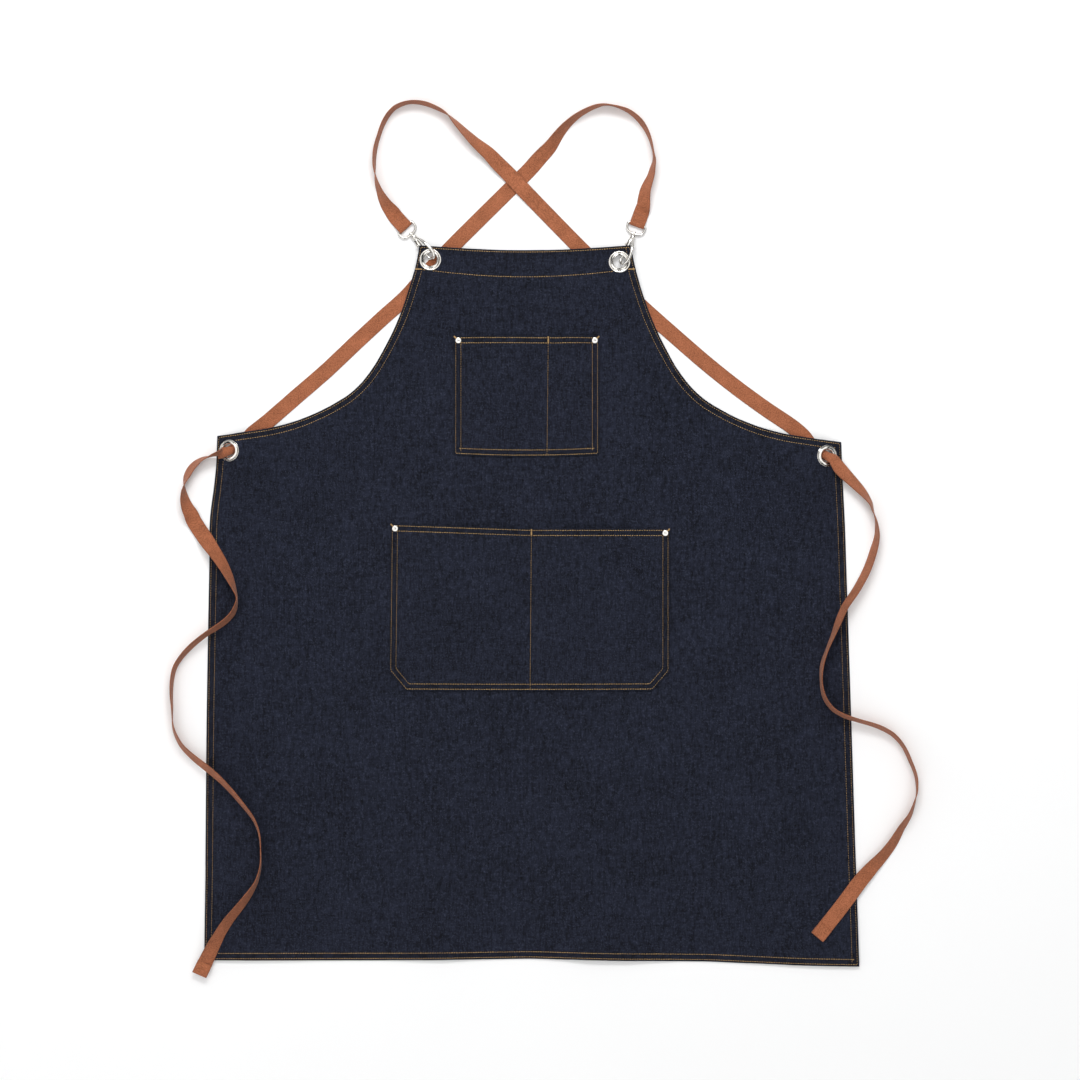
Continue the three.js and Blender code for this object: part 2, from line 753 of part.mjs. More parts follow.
// The arm crosses over the grommet's rim, dips through its bore and meets the bolt behind the cloth
const ARM_ROUTE = [
  { along: -1.4, out: 0.8, up: 0.8 }, { along: 2, out: 1.8, up: 3.1 },
  { along: 7.7, out: 4.2, up: 6.6 }, { along: 13.7, out: 6.2, up: 8.9 },
  { along: 20, out: 7.8, up: 10 }, { along: 26, out: 8.4, up: 10.2 },
  { along: 31, out: 7.9, up: 10.2 }, { along: 34.3, out: 6.3, up: 9.6 },
  { along: 35.7, out: 4.3, up: 7.8 }, { along: 35.5, out: 2.6, up: 5 },
  { along: 34.6, out: 1.3, up: 2.4 }, { along: 33, out: 0.3, up: 0.5 },
  { along: 30.2, out: 0, up: 0 },
];
const BOLT_FRONT = 30.2 - GAP;
const BOLT_BACK = 9.4;
const STUD_AT = 11.2;
const STUD_RADIUS = 0.9;
const STUD_LENGTH = 5.4;
const STUD_TURN = THREE.MathUtils.degToRad(50);
const SOCKET_RADIUS = 2.3;
const SOCKET_START = -2;
const SOCKET_END = 2.2;
const LIP_RADIUS = 1.7;
const COLLAR_START = -2.7;

function hookBodyGeometry() {
  const arm = ARM_ROUTE.map((row) => new THREE.Vector3(row.along, row.out, row.up));
  const whole = joinAll([
    bar(COLLAR_RADIUS, COLLAR_START, COLLAR_START + COLLAR_LENGTH),
    bar(BARREL_RADIUS, COLLAR_START + COLLAR_LENGTH - 0.6, BARREL_END),
    wire(arm, ARM_RADIUS),
  ]);
  const slot = new THREE.BoxGeometry(BOLT_TRAVEL + 2 * STUD_RADIUS + 2 * GAP, 2 * (STUD_RADIUS + GAP), 8)
    .translate(STUD_AT - BOLT_TRAVEL / 2, 0, 4)
    .rotateX(STUD_TURN);
  return toGeometry(cutAll(whole, [
    bar(SOCKET_RADIUS, SOCKET_START, SOCKET_END, 12),
    bar(LIP_RADIUS, COLLAR_START - 1, -1, 12),
    bar(BOLT_RADIUS + GAP, BOLT_BACK - BOLT_TRAVEL - GAP, BARREL_END + 1, 12),
    slot,
  ]));
}

function hookBoltGeometry() {
  const stud = upright(STUD_RADIUS, 0, STUD_LENGTH, 8).translate(STUD_AT, 0, 0).rotateX(STUD_TURN);
  const knob = upright(STUD_RADIUS + 0.5, BARREL_RADIUS + GAP, STUD_LENGTH + 0.4, 8)
    .translate(STUD_AT, 0, 0)
    .rotateX(STUD_TURN);
  return toGeometry(joinAll([bar(BOLT_RADIUS, BOLT_BACK, BOLT_FRONT, 12), stud, knob]));
}

const EYE_SWING = 0.7;
const EYE_MIDDLE = COLLAR_START - GAP - EYE_SWING - EYE_WIRE;
const EYE_BAR = EYE_MIDDLE - EYE_DEPTH;
const EYE_HEAD_RADIUS = 2;
const EYE_HEAD_LENGTH = 2.8;

// The eye's outline from the middle of its straight bar round to the middle of its curved side
const EYE_OUTLINE = [
  { across: 0, deep: 0 }, { across: 0.45, deep: 0 }, { across: 0.91, deep: 0 },
  { across: 1, deep: 0.08 }, { across: 1, deep: 0.38 }, { across: 0.965, deep: 0.58 },
  { across: 0.86, deep: 0.76 }, { across: 0.66, deep: 0.9 }, { across: 0.36, deep: 0.98 },
  { across: 0, deep: 1 },
];

function hookEyeGeometry() {
  const place = (row, side) => {
    return new THREE.Vector3(EYE_BAR + row.deep * EYE_DEPTH, side * row.across * EYE_HALF_WIDTH, 0);
  };
  const oneSide = EYE_OUTLINE.map((row) => place(row, 1));
  const otherSide = EYE_OUTLINE.slice(1, -1).reverse().map((row) => place(row, -1));
  const ball = new THREE.SphereGeometry(BALL_RADIUS, 10, 6).rotateZ(Math.PI / 2);
  return toGeometry(joinAll([
    wire([...oneSide, ...otherSide], EYE_WIRE, true),
    bar(EYE_HEAD_RADIUS, EYE_MIDDLE - EYE_HEAD_LENGTH, EYE_MIDDLE, 12),
    bar(EYE_NECK, EYE_MIDDLE, 0, 8),
    ball,
  ]));
}

function hookMeshes(grommet) {
  const suffix = grommet.side < 0 ? 'left' : 'right';
  const body = meshOf(`hook_body_${suffix}`, hookBodyGeometry(), NICKEL);
  const bolt = meshOf(`hook_bolt_${suffix}`, hookBoltGeometry(), NICKEL);
  const eye = meshOf(`hook_eye_${suffix}`, hookEyeGeometry(), NICKEL);
  body.applyMatrix4(hookFrame(grommet, 'hookAngle'));
  bolt.applyMatrix4(hookFrame(grommet, 'hookAngle'));
  eye.applyMatrix4(hookFrame(grommet, 'eyeAngle'));
  return [body, bolt, eye];
}

// Strap routes, chosen by hand. Each row: x and y from a fixed point, the lean of the tape in degrees
// from flat with its right-hand edge up, and what it rests on: 0 the surface, 1 the cloth.

// From the left hook round to the crossing
const LEFT_LOOP = [
  [-23.5, 26.5, -22, 0], [-29.5, 34, -41, 0], [-34.5, 42.5, -55, 0], [-38.5, 51.5, -68, 0],
  [-42, 61.5, -76, 0], [-44, 71.5, -87, 0], [-45, 82, -97, 0], [-44, 102, -100, 0], [-39, 121, -98, 0],
  [-31.5, 140, -100, 0], [-19.5, 155, -97, 0], [-0.5, 162, -94, 0], [19.5, 160, -98, 0],
  [38.5, 152, -95, 0], [46.5, 147, -87, 0], [53.5, 140, -74, 0], [67.5, 125.5, -60, 0],
  [82, 111.5, -45, 0], [97, 99, -27, 0.1], [110, 85.5, -12, 0.5], [124, 71.5, 0, 0.75],
  [140, 54.5, 0, 0.75], [156, 38, 0, 0.3],
];

// From the right hook round to the crossing
const RIGHT_LOOP = [
  [9, 31, -30, 0], [11.5, 51, -47, 0], [18.5, 69.5, -65, 0], [20.5, 78.5, -71, 0], [22.5, 88, -81, 0],
  [21.5, 98, -90, 0], [16.5, 118, -84, 0], [6.5, 136, -78, 0], [-9.5, 150, -84, 0],
  [-29.5, 157, -95, 0], [-39.5, 158, -92, 0], [-49.5, 156, -84, 0], [-67, 148, -78, 0],
  [-83, 136, -68, 0], [-96, 121.5, -55, 0], [-107, 106, -36, 0], [-119, 93.5, -18, 0], [-133, 78, 0, 0],
  [-165, 46, 0, 0],
];

// Back along the armhole from where the strap comes out from under the bib: shares of the way across and
// up from the side grommet to that place
const LEFT_ARMHOLE = [
  [0.985, 0.973], [0.875, 0.861], [0.704, 0.682], [0.543, 0.509], [0.377, 0.346], [0.206, 0.178],
  [0.126, 0.107],
];
const RIGHT_ARMHOLE = [
  [0.989, 1.002], [0.875, 0.875], [0.692, 0.674], [0.515, 0.495], [0.333, 0.328], [0.191, 0.207],
  [0.128, 0.138],
];

// From the side grommet out to the tie's end
const LEFT_TIE = [
  [-2.5, -1.5, -53, 1], [-12, -4.5, -73, 1.4], [-22, -7.5, -89, 0.9], [-32.5, -10.5, -104, 0.2],
  [-40.5, -15.5, -115, 0], [-47.5, -22.5, -121, 0], [-52.5, -31.5, -120, 0], [-55.5, -40.5, -103, 0],
  [-56.5, -50, -80, 0], [-55.5, -60, -62, 0.1], [-52.5, -70, -45, 0.5], [-48, -79, -29, 1],
  [-44.5, -88, 0, 1], [-33.5, -105, 0, 1], [-21.5, -122, -34, 1], [-10.5, -138, -48, 1],
  [-0.5, -156, -64, 1], [7, -173.5, -83, 1], [10, -183.5, -94, 1], [5, -202.5, -75, 1],
  [-9, -216.5, -72, 1], [-26, -227.5, -75, 1], [-49.5, -246.5, -75, 0.3], [-67.5, -270.5, -80, 0],
  [-72, -300.5, -86, 0], [-71, -320, -91, 0], [-70.5, -340, -98, 0], [-68.5, -350, -104, 0],
  [-59.5, -368, -110, 0], [-44.5, -383, -117, 0.2], [-29, -395, -120, 1], [-14, -407.5, -117, 1],
  [0, -421.5, -113, 1], [19.5, -444.5, -109, 1], [30.5, -459.5, -105, 1], [37.5, -477.5, -100, 1],
  [39.5, -497, -95, 1], [39.5, -517, -91, 1], [34.5, -537, -82, 1], [24.5, -554, -67, 1],
  [12.5, -570, -59, 1], [-0.5, -586, -53, 1], [-11.5, -603, -48, 1], [-21, -620.5, -32, 1],
  [-30, -639, -18, 1],
];
const RIGHT_TIE = [
  [1, -2.5, -28, 1], [16, -15.5, -26, 1.4], [29, -29, -40, 0.7], [43.5, -44, -54, 0.1],
  [54.5, -59, -73, 0], [57.5, -69, -81, 0], [60.5, -78, -88, 0], [62.5, -98, -102, 0],
  [58.5, -117, -112, 0], [48.5, -145, -114, 0.2], [33.5, -171.5, -113, 0.9], [22.5, -187.5, -111, 1],
  [14.5, -205.5, -109, 1], [7, -224.5, -98, 1], [-0.5, -242.5, -93, 1], [-6.5, -261.5, -97, 1],
  [-7.5, -281, -92, 1], [-3.5, -301, -99, 1], [8.5, -317, -102, 1], [26, -326, -105, 1],
  [45.5, -332, -104, 0.3], [64.5, -338, -105, 0], [82.5, -348, -103, 0], [95.5, -363, -98, 0],
  [104, -381, -97, 0], [111, -400, -94, 0], [112, -420, -87, 0], [110, -429, -80, 0],
  [103.5, -448, -69, 0], [92.5, -465, -58, 0], [83, -482, -47, 0], [71, -498, -40, 0.2],
  [57, -513, -25, 0.7], [44.5, -527.5, -6, 1], [32.5, -543.5, 0, 1], [14.5, -567.5, 0, 1],
  [-1.5, -587.5, 0, 1],
];
const END_FOLD = 16;

// Height of the tape's middle line where it rests at a point with the given lean
function restingHeight(point, lean, rest) {
  const turn = THREE.MathUtils.degToRad(lean);
  const standing = (STRAP_WIDTH / 2) * Math.abs(Math.sin(turn));
  const lying = (STRAP_THICKNESS / 2) * Math.abs(Math.cos(turn));
  return rest * (STRAP_ON_CLOTH + liftAt(point)) + standing + lying;
}

function routeRows(anchor, rows) {
  return rows.map(([x, y, lean, rest]) => {
    const point = new THREE.Vector2(anchor.x + x, anchor.y + y);
    const at = new THREE.Vector3(point.x, point.y, restingHeight(point, lean, rest));
    return { at, lean, narrow: 1 };
  });
}

// The end of the tape folded over the hook's eye and sewn down on itself
function eyeFold(grommet) {
  const frame = hookFrame(grommet, 'eyeAngle');
  const wrap = EYE_WIRE + GAP + STRAP_THICKNESS / 2;
  const low = STRAP_THICKNESS / 2 - HOOK_AXIS_HEIGHT;
  const onTop = low + STRAP_THICKNESS + GAP;
  const profile = [
    [-STRAP_FOLD, onTop], [-0.65 * STRAP_FOLD, onTop + 0.1], [-0.4 * STRAP_FOLD, onTop + 0.7],
    [-0.2 * STRAP_FOLD, mix(onTop, wrap, 0.75)],
  ];
  for (let step = 0; step <= 6; step += 1) {
    const angle = Math.PI / 2 - (step / 6) * Math.PI;
    profile.push([wrap * Math.cos(angle), wrap * Math.sin(angle)]);
  }
  profile.push([-0.2 * STRAP_FOLD, mix(low, -wrap, 0.4)], [-0.4 * STRAP_FOLD, low], [-STRAP_FOLD, low]);
  const across = new THREE.Vector3(0, -1, 0).transformDirection(frame);
  return profile.map(([along, up]) => ({
    at: new THREE.Vector3(EYE_BAR + along, 0, up).applyMatrix4(frame), across, narrow: 1,
  }));
}

// The tape narrows to pass up through the side grommet, then leaves over the cloth
function boreRows(grommet) {
  const frame = grommetFrame(grommet);
  const place = (x, y, z) => new THREE.Vector3(-grommet.side * x, y, z).applyMatrix4(frame);
  return [
    { at: place(9, 6.6, -7.6), lean: 0, narrow: STRAP_IN_BORE },
    { at: place(3.4, 2.6, -4.6), lean: 0, narrow: STRAP_IN_BORE },
    { at: place(0.2, 0.1, -0.8), lean: 0, narrow: STRAP_IN_BORE },
    { at: place(-2.2, -1.6, 3), lean: -10, narrow: STRAP_IN_BORE },
    { at: place(-6, -3, 5), lean: -24, narrow: mix(STRAP_IN_BORE, 1, 0.4) },
  ];
}

// The sewn-back end of a tie, lying on its own last stretch
function endFold(rows) {
  const last = rows[rows.length - 1].at;
  const along = last.clone().sub(rows[rows.length - 2].at).setZ(0).normalize();
  const drop = STRAP_THICKNESS + GAP;
  const tip = last.clone().addScaledVector(along, END_FOLD);
  const turn = (forward, up) => ({
    at: tip.clone().addScaledVector(along, forward).add(new THREE.Vector3(0, 0, up)), narrow: 1,
  });
  return [
    turn(-1.2, 0), turn(0.2, drop * 0.2), turn(0.5, drop * 0.5), turn(0.2, drop * 0.8), turn(-1.2, drop),
    turn(-END_FOLD, drop),
  ];
}

// Adds a row halfway between rows that are more than one tape width apart, on a smooth curve
function refine(rows) {
  const curve = new THREE.CatmullRomCurve3(rows.map((row) => row.at), false, 'centripetal');
  const fine = [];
  rows.forEach((row, index) => {
    fine.push(row);
    const next = rows[index + 1];
    if (next && row.at.distanceTo(next.at) > 0.6 * STRAP_WIDTH) {
      fine.push({
        at: curve.getPoint((index + 0.5) / (rows.length - 1)),
        lean: mix(row.lean, next.lean, 0.5),
        narrow: mix(row.narrow, next.narrow, 0.5),
      });
    }
  });
  return fine;
}

function stationsOf(rows) {
  const up = new THREE.Vector3(0, 0, 1);
  return rows.map((row, index) => {
    const before = rows[Math.max(0, index - 1)].at;
    const after = rows[Math.min(rows.length - 1, index + 1)].at;
    const along = after.clone().sub(before).normalize();
    let across = row.across;
    if (!across) {
      const level = up.clone().cross(along).normalize();
      const turn = THREE.MathUtils.degToRad(row.lean);
      across = level.clone().multiplyScalar(Math.cos(turn));
      across.addScaledVector(along.clone().cross(level), Math.sin(turn));
    }
    const through = along.clone().cross(across).normalize();
    const edge = (STRAP_WIDTH / 2) * row.narrow * Math.abs(across.z);
    const lowest = row.at.z - edge - (STRAP_THICKNESS / 2) * Math.abs(through.z);
    const at = row.at.clone().setZ(row.at.z + Math.max(0, -lowest));
    return { at, across, through, narrow: row.narrow };
  });
}

function strapMesh(name, hookGrommet, tieGrommet, routes) {
  const hookHole = GROMMET_AT[hookGrommet.name];
  const loopFrom = { x: hookHole.x + hookGrommet.loopX, y: hookHole.y + hookGrommet.loopY };
  const hole = GROMMET_AT[tieGrommet.name];
  const [enter, exit] = runEnds(tieGrommet.side > 0 ? 0 : 1);
  const flat = (point) => ({
    at: new THREE.Vector3(point.x, point.y, STRAP_THICKNESS / 2), lean: 0, narrow: 1,
  });
  const armhole = routes.armhole.map(([across, up]) => {
    return flat({ x: mix(hole.x, exit.x, across), y: mix(hole.y, exit.y, up) });
  });
  const middle = enter.clone().lerp(exit, 0.5);
  const front = [...routeRows(loopFrom, routes.loop), flat(enter), flat(middle), ...armhole];
  const tie = routeRows(hole, routes.tie);
  const body = refine([...front, ...boreRows(tieGrommet), ...tie.slice(1)]);
  const fold = endFold(body);
  const tailAcross = stationsOf(body).at(-1).across.clone().setZ(0).normalize();
  for (const row of fold) row.across = tailAcross;
  const stations = stationsOf([...eyeFold(hookGrommet), ...body, ...fold]);
  const half = STRAP_THICKNESS / 2;
  const edge = STRAP_WIDTH / 2;
  const section = [[-edge, -half], [edge, -half], [edge, half], [-edge, half]];
  return meshOf(name, sweep(stations, section), TAPE);
}

// The apron

const [topLeft, topRight, sideLeft, sideRight] = GROMMETS;
const apron = new THREE.Group();
apron.add(bodyMesh());
for (const pocket of POCKETS) apron.add(pocketMesh(pocket));
for (const rivet of rivetPlaces()) {
  const mesh = meshOf(rivet.name, rivetGeometry(), NICKEL);
  mesh.position.set(rivet.at.x, rivet.at.y, 0);
  apron.add(mesh);
}
for (const grommet of GROMMETS) apron.add(...grommetMeshes(grommet));
for (const grommet of [topLeft, topRight]) apron.add(...hookMeshes(grommet));
apron.add(strapMesh('strap_from_left_hook', topLeft, sideRight, {
  loop: LEFT_LOOP, armhole: RIGHT_ARMHOLE, tie: RIGHT_TIE,
}));
apron.add(strapMesh('strap_from_right_hook', topRight, sideLeft, {
  loop: RIGHT_LOOP, armhole: LEFT_ARMHOLE, tie: LEFT_TIE,
}));

apron.position.z = -HEM_LAYERS;

export default apron;
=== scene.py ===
# A denim cross back apron lying flat on a white floor, seen from straight above.
# Metres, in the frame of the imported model. Sizes that are easier to read in millimetres end in _MM.
import math
import random

import bmesh
import bpy
import numpy as np
from mathutils import Matrix, Vector
from mathutils.bvhtree import BVHTree
from mathutils.geometry import delaunay_2d_cdt
from mathutils.kdtree import KDTree


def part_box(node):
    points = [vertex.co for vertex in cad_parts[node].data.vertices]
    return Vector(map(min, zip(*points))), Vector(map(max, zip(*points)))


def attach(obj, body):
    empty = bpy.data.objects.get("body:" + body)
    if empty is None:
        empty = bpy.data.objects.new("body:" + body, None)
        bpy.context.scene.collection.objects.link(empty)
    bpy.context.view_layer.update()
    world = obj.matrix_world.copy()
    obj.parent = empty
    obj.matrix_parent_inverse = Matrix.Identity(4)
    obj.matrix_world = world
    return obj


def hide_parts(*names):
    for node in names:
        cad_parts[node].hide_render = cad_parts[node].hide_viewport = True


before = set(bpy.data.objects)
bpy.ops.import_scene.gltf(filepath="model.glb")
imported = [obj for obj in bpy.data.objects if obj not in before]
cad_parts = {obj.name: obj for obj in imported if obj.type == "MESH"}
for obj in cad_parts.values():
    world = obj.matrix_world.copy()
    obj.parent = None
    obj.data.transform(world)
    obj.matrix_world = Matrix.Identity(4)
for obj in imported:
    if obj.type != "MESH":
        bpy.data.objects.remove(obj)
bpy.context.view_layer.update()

MM = 0.001
chance = random.Random(11)

# The apron's own sizes
FLOOR_MM = -1.2
SINGLE_CLOTH_MM = 1.0
HEMMED_CLOTH_MM = 2.2
ABOVE_FLOOR_MM = 0.02
EDGE_DROP_MM = 0.55
EDGE_ROUND_MM = 1.3
EDGE_BULGE_MM = 0.3

# Rows of corners in a cloth's mesh
RIM_ROWS_MM = (0.5, 1.2)
STEP_MM = 0.35
CLOSEST_MM = 0.45
GRID_CLEAR_MM = 3.2

BODY_HEM_MM = 10
POCKET_HEM_MM = 8
BAND_DEPTH_MM = 31
BAND_ROW_MM = 417.9
BAND_ROW_DIP_MM = 9
TOP_DIP_MM = 5.5
TOP_MM = 447.5
TOP_LEFT_MM = -138
TOP_WIDTH_MM = 264

# The inner row goes on beside the right hook, up to the top edge
SHORT_ROW = [(121.8, 434.5), (119.4, 444.6)]

# Topstitching
OUTER_SEAM_MM = 2.2
INNER_SEAM_MM = 8.7
STITCH_MM = 3.0
THREAD_LENGTH_MM = 2.2
THREAD_WIDTH_MM = 0.85
THREAD_HEIGHT_MM = 0.45
SUNK_SHARE = 0.42
BEAD_SIDES = 6
STITCH_WANDER_MM = 0.1
STITCH_LEAN_MM = 0.12
SEAM_DEPTH_MM = 0.42
SEAM_WIDTH_MM = 1.15
SEAM_LINES_MM = (-2.4, -1.1, 0, 1.1, 2.4)

# Bar tacks: threads laid side by side
TACK_LENGTH_MM = 7.5
SHORT_TACK_MM = 4.4
TACK_PITCH_MM = 0.72
TACK_REACH_MM = 1.0
TACK_THREAD_MM = 0.75
TACK_HEIGHT_MM = 0.6
TACK_LIFT_MM = 0.25

# Grommets: centre, height of the cloth's face there, and how far the face leans to the right
GROMMETS = {
    "top_left": (-124.25, 429.75, 8.01, 0),
    "top_right": (111.6, 427.0, 8.01, 0),
    "side_left": (-375.25, 191.7, 6.642, -20),
    "side_right": (370.45, 185.0, 7.661, 20),
}
HOLE_RADIUS_MM = 9.0
HOLE_SIDES = 40
BORE_MM = 8.0
FLANGE_MM = 13.5
WASHER_MM = 12.8

# Snap hooks: place of the swivel ball, and the directions of the hook and of its eye
HOOKS = {
    "left": (-144.705, 457.904, -54, -48),
    "right": (127.938, 457.727, -118, -110),
}
HOOK_AXIS_MM = 2.4
EYE_BAR_MM = 17.1
EYE_DEPTH_MM = 12
EYE_HALF_MM = 11.3
EYE_WIRE_MM = 1.4

# Tape
TAPE_WIDTH_MM = 19
TAPE_THICKNESS_MM = 1.2
TAPE_FOLD_MM = 17
TAPE_ROWS_MM = (12.2, 13.8)


# Small helpers


def rows_of(points):
    return np.array(points, float)


def deselect():
    bpy.ops.object.select_all(action="DESELECT")


def chosen(piece):
    """Makes a piece the only one selected, and the active one."""
    deselect()
    piece.select_set(True)
    bpy.context.view_layer.objects.active = piece
    return piece


def mesh_object(name, points, faces):
    mesh = bpy.data.meshes.new(name)
    mesh.from_pydata([tuple(point) for point in points], [], faces)
    mesh.update()
    piece = bpy.data.objects.new(name, mesh)
    bpy.context.scene.collection.objects.link(piece)
    return piece


def dress(piece, material, body, angle=40):
    """The piece gets its material and rides on a body."""
    piece.data.materials.append(material)
    chosen(piece)
    bpy.ops.object.shade_smooth_by_angle(angle=math.radians(angle))
    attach(piece, body)
    return piece


def cad_copy(node):
    """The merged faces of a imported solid."""
    shape = bmesh.new()
    shape.from_mesh(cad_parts[node].data)
    bmesh.ops.remove_doubles(shape, verts=shape.verts, dist=2e-6)
    shape.normal_update()
    return shape


def place_of(vert):
    """Sorts a shape's corners, so that each run takes them in the same order."""
    return tuple(vert.co)


def flowing(points, step, least=1):
    """Points on a smooth line through the given ones, and how many rows along each one lies."""
    points = rows_of(points)
    if len(points) == 2:
        steps = max(least, math.ceil(np.linalg.norm(points[1] - points[0]) / step))
        share = np.linspace(0, 1, steps + 1)
        return points[0] + share[:, None] * (points[1] - points[0]), share
    gaps = np.linalg.norm(np.diff(points, axis=0), axis=1)
    reach = np.concatenate([[0], np.cumsum(gaps)])
    slopes = np.gradient(points, reach, axis=0)
    line = []
    place = []
    for row, gap in enumerate(gaps):
        steps = max(least, math.ceil(gap / step))
        s = np.arange(steps)[:, None] / steps
        start = points[row] * (1 + 2 * s) * (1 - s) ** 2 + points[row + 1] * s * s * (3 - 2 * s)
        bend = slopes[row] * s * (1 - s) ** 2 + slopes[row + 1] * s * s * (s - 1)
        line.append(start + gap * bend)
        place.append(row + s[:, 0])
    line.append(points[-1:])
    place.append([len(points) - 1])
    return np.concatenate(line), np.concatenate(place)


def even_steps(line, step):
    """Points at an even distance along a line."""
    line = rows_of(line)
    gaps = np.linalg.norm(np.diff(line, axis=0), axis=1)
    reach = np.concatenate([[0], np.cumsum(gaps)])
    places = np.linspace(0, reach[-1], max(1, round(reach[-1] / step)) + 1)
    return np.stack([np.interp(places, reach, line[:, axis]) for axis in range(line.shape[1])], 1)


def distance_to(lines, points, step=0.5):
    """How far each point is from the nearest of the lines."""
    samples = np.concatenate([even_steps(line, step) for line in lines])
    tree = KDTree(len(samples))
    for index, (x, y) in enumerate(samples):
        tree.insert((x, y, 0), index)
    tree.balance()
    return np.array([tree.find((x, y, 0))[2] for x, y in points])


# Materials


def linear(code):
    """An sRGB hex colour as linear light."""
    parts = [int(code[place:place + 2], 16) / 255 for place in (1, 3, 5)]
    bright = [part / 12.92 if part <= 0.04045 else ((part + 0.055) / 1.055) ** 2.4 for part in parts]
    return (*bright, 1)


def add(tree, kind, inputs=(), output=0, **settings):
    """Adds a node with its settings and gives one of its outputs. Its inputs are named, numbered or in
    order, and each is a value or another node's output."""
    node = tree.nodes.new("ShaderNode" + kind)
    for name, value in settings.items():
        setattr(node, name, value)
    for name, value in inputs.items() if isinstance(inputs, dict) else enumerate(inputs):
        if isinstance(value, bpy.types.NodeSocket):
            tree.links.new(value, node.inputs[name])
        else:
            node.inputs[name].default_value = value
    return node.outputs[output] if node.outputs else node


def bare_material(name):
    material = bpy.data.materials.new(name)
    material.use_nodes = True
    material.node_tree.nodes.clear()
    return material, material.node_tree


# A wave texture repeats after this length at a scale of one
WAVE_LENGTH = 2 * math.pi / 20

# The numbered inputs of a Mix node that mixes colours, its output and its setting
FACTOR = 0
FIRST = 6
SECOND = 7
COLOURS = {"output": 2, "data_type": "RGBA"}

TWILL_SPACING_MM = 1.2
TWILL_LEAN = math.radians(-28)
RIB_SPACING_MM = 2.4
RIB_SLANT = 1.1
SELVEDGE_MM = (8.2, 9.3)


def raw_denim(name, dark, light, fleck, fleck_share):
    """Raw indigo denim, woven as a right-hand twill and never washed. To the eye it is a deep matt navy
    with faint upright slubs, soft mottling and fine pale flecks where the undyed weft shows. The twill
    is 1.2 mm apart, twice the real spacing, so that it shows. Shade is also painted into its colour:
    it is darker in the valleys along its seams and over the hem strip near its edge."""
    material, tree = bare_material(name)
    place = add(tree, "TexCoord", output="Object")
    leaning = add(tree, "Mapping", {"Vector": place, "Rotation": (0, 0, TWILL_LEAN)})
    twill = add(tree, "TexWave", {
        "Vector": leaning, "Scale": WAVE_LENGTH / (TWILL_SPACING_MM * MM), "Distortion": 1.6,
        "Detail": 2.0, "Detail Scale": 1.2,
    }, "Fac", wave_type="BANDS", bands_direction="X")
    upright = add(tree, "Mapping", {"Vector": place, "Scale": (1, 0.16, 1)})
    slub = add(tree, "TexNoise", {"Vector": upright, "Scale": 520.0, "Detail": 3.0, "Roughness": 0.6})
    crossing = add(tree, "Mapping", {"Vector": place, "Scale": (0.2, 1, 1)})
    weft = add(tree, "TexNoise", {"Vector": crossing, "Scale": 480.0, "Detail": 2.0, "Roughness": 0.55})
    mottle = add(tree, "TexNoise", {"Vector": place, "Scale": 150.0, "Detail": 4.0, "Roughness": 0.62})
    broad = add(tree, "TexNoise", {"Vector": place, "Scale": 14.0, "Detail": 2.0})
    tone = add(tree, "MapRange", (slub, 0.36, 0.66, 0, 0.5))
    for pattern, low, high, least, most in (
        (mottle, 0.38, 0.64, 0, 0.3), (weft, 0.36, 0.66, -0.05, 0.2),
        (broad, 0.3, 0.7, -0.08, 0.1), (twill, 0.0, 1.0, -0.08, 0.08),
    ):
        part = add(tree, "MapRange", (pattern, low, high, least, most))
        tone = add(tree, "Math", (tone, part), operation="ADD")
    base = add(tree, "Mix", {FACTOR: tone, FIRST: linear(dark), SECOND: linear(light)}, **COLOURS)

    grain = add(tree, "TexNoise", {"Vector": place, "Scale": 520.0, "Detail": 1.0})
    pale = add(tree, "MapRange", (grain, 0.52, 0.75))
    raised = add(tree, "MapRange", (twill, 0.2, 1.0))
    flecks = add(tree, "Math", (pale, raised), operation="MULTIPLY")
    flecks = add(tree, "Math", (flecks, fleck_share), operation="MULTIPLY")
    base = add(tree, "Mix", {FACTOR: flecks, FIRST: base, SECOND: linear(fleck)}, **COLOURS)

    seam = add(tree, "Attribute", output="Fac", attribute_name="seam")
    rim = add(tree, "Attribute", output="Fac", attribute_name="rim")
    # Painted shade: darker in the stitched valleys along every seam, and darker over the strip within 7.6 mm
    # of the edge, fading out by 9.4 mm
    for away, near, far, darkest_painted_shade in ((seam, 0.2, 1.7, 0.62), (rim, 7.6, 9.4, 0.8)):
        painted_seam_shade = add(tree, "MapRange", (away, near, far, darkest_painted_shade, 1.0))
        mixing = {FACTOR: 1.0, FIRST: base, SECOND: painted_seam_shade}
        base = add(tree, "Mix", mixing, **COLOURS, blend_type="MULTIPLY")

    slub_height = add(tree, "Math", (slub, 1.4), operation="MULTIPLY")
    height = add(tree, "Math", (twill, slub_height), operation="ADD")
    near_seam = add(tree, "MapRange", (seam, 0.5, 6.0, 1.0, 0.0))
    unevenness = add(tree, "TexNoise", {"Vector": place, "Scale": 160.0})
    pucker = add(tree, "Math", (near_seam, unevenness), operation="MULTIPLY")
    pucker = add(tree, "Math", (pucker, 6.0), operation="MULTIPLY")
    height = add(tree, "Math", (height, pucker), operation="ADD")
    bump = add(tree, "Bump", {"Strength": 0.55, "Distance": 0.00022, "Height": height})
    surface = add(tree, "BsdfPrincipled", {
        "Base Color": base, "Roughness": 0.92, "Specular IOR Level": 0.15, "Sheen Weight": 0.04,
        "Sheen Roughness": 0.5, "Normal": bump,
    })
    add(tree, "OutputMaterial", {"Surface": surface})
    return material


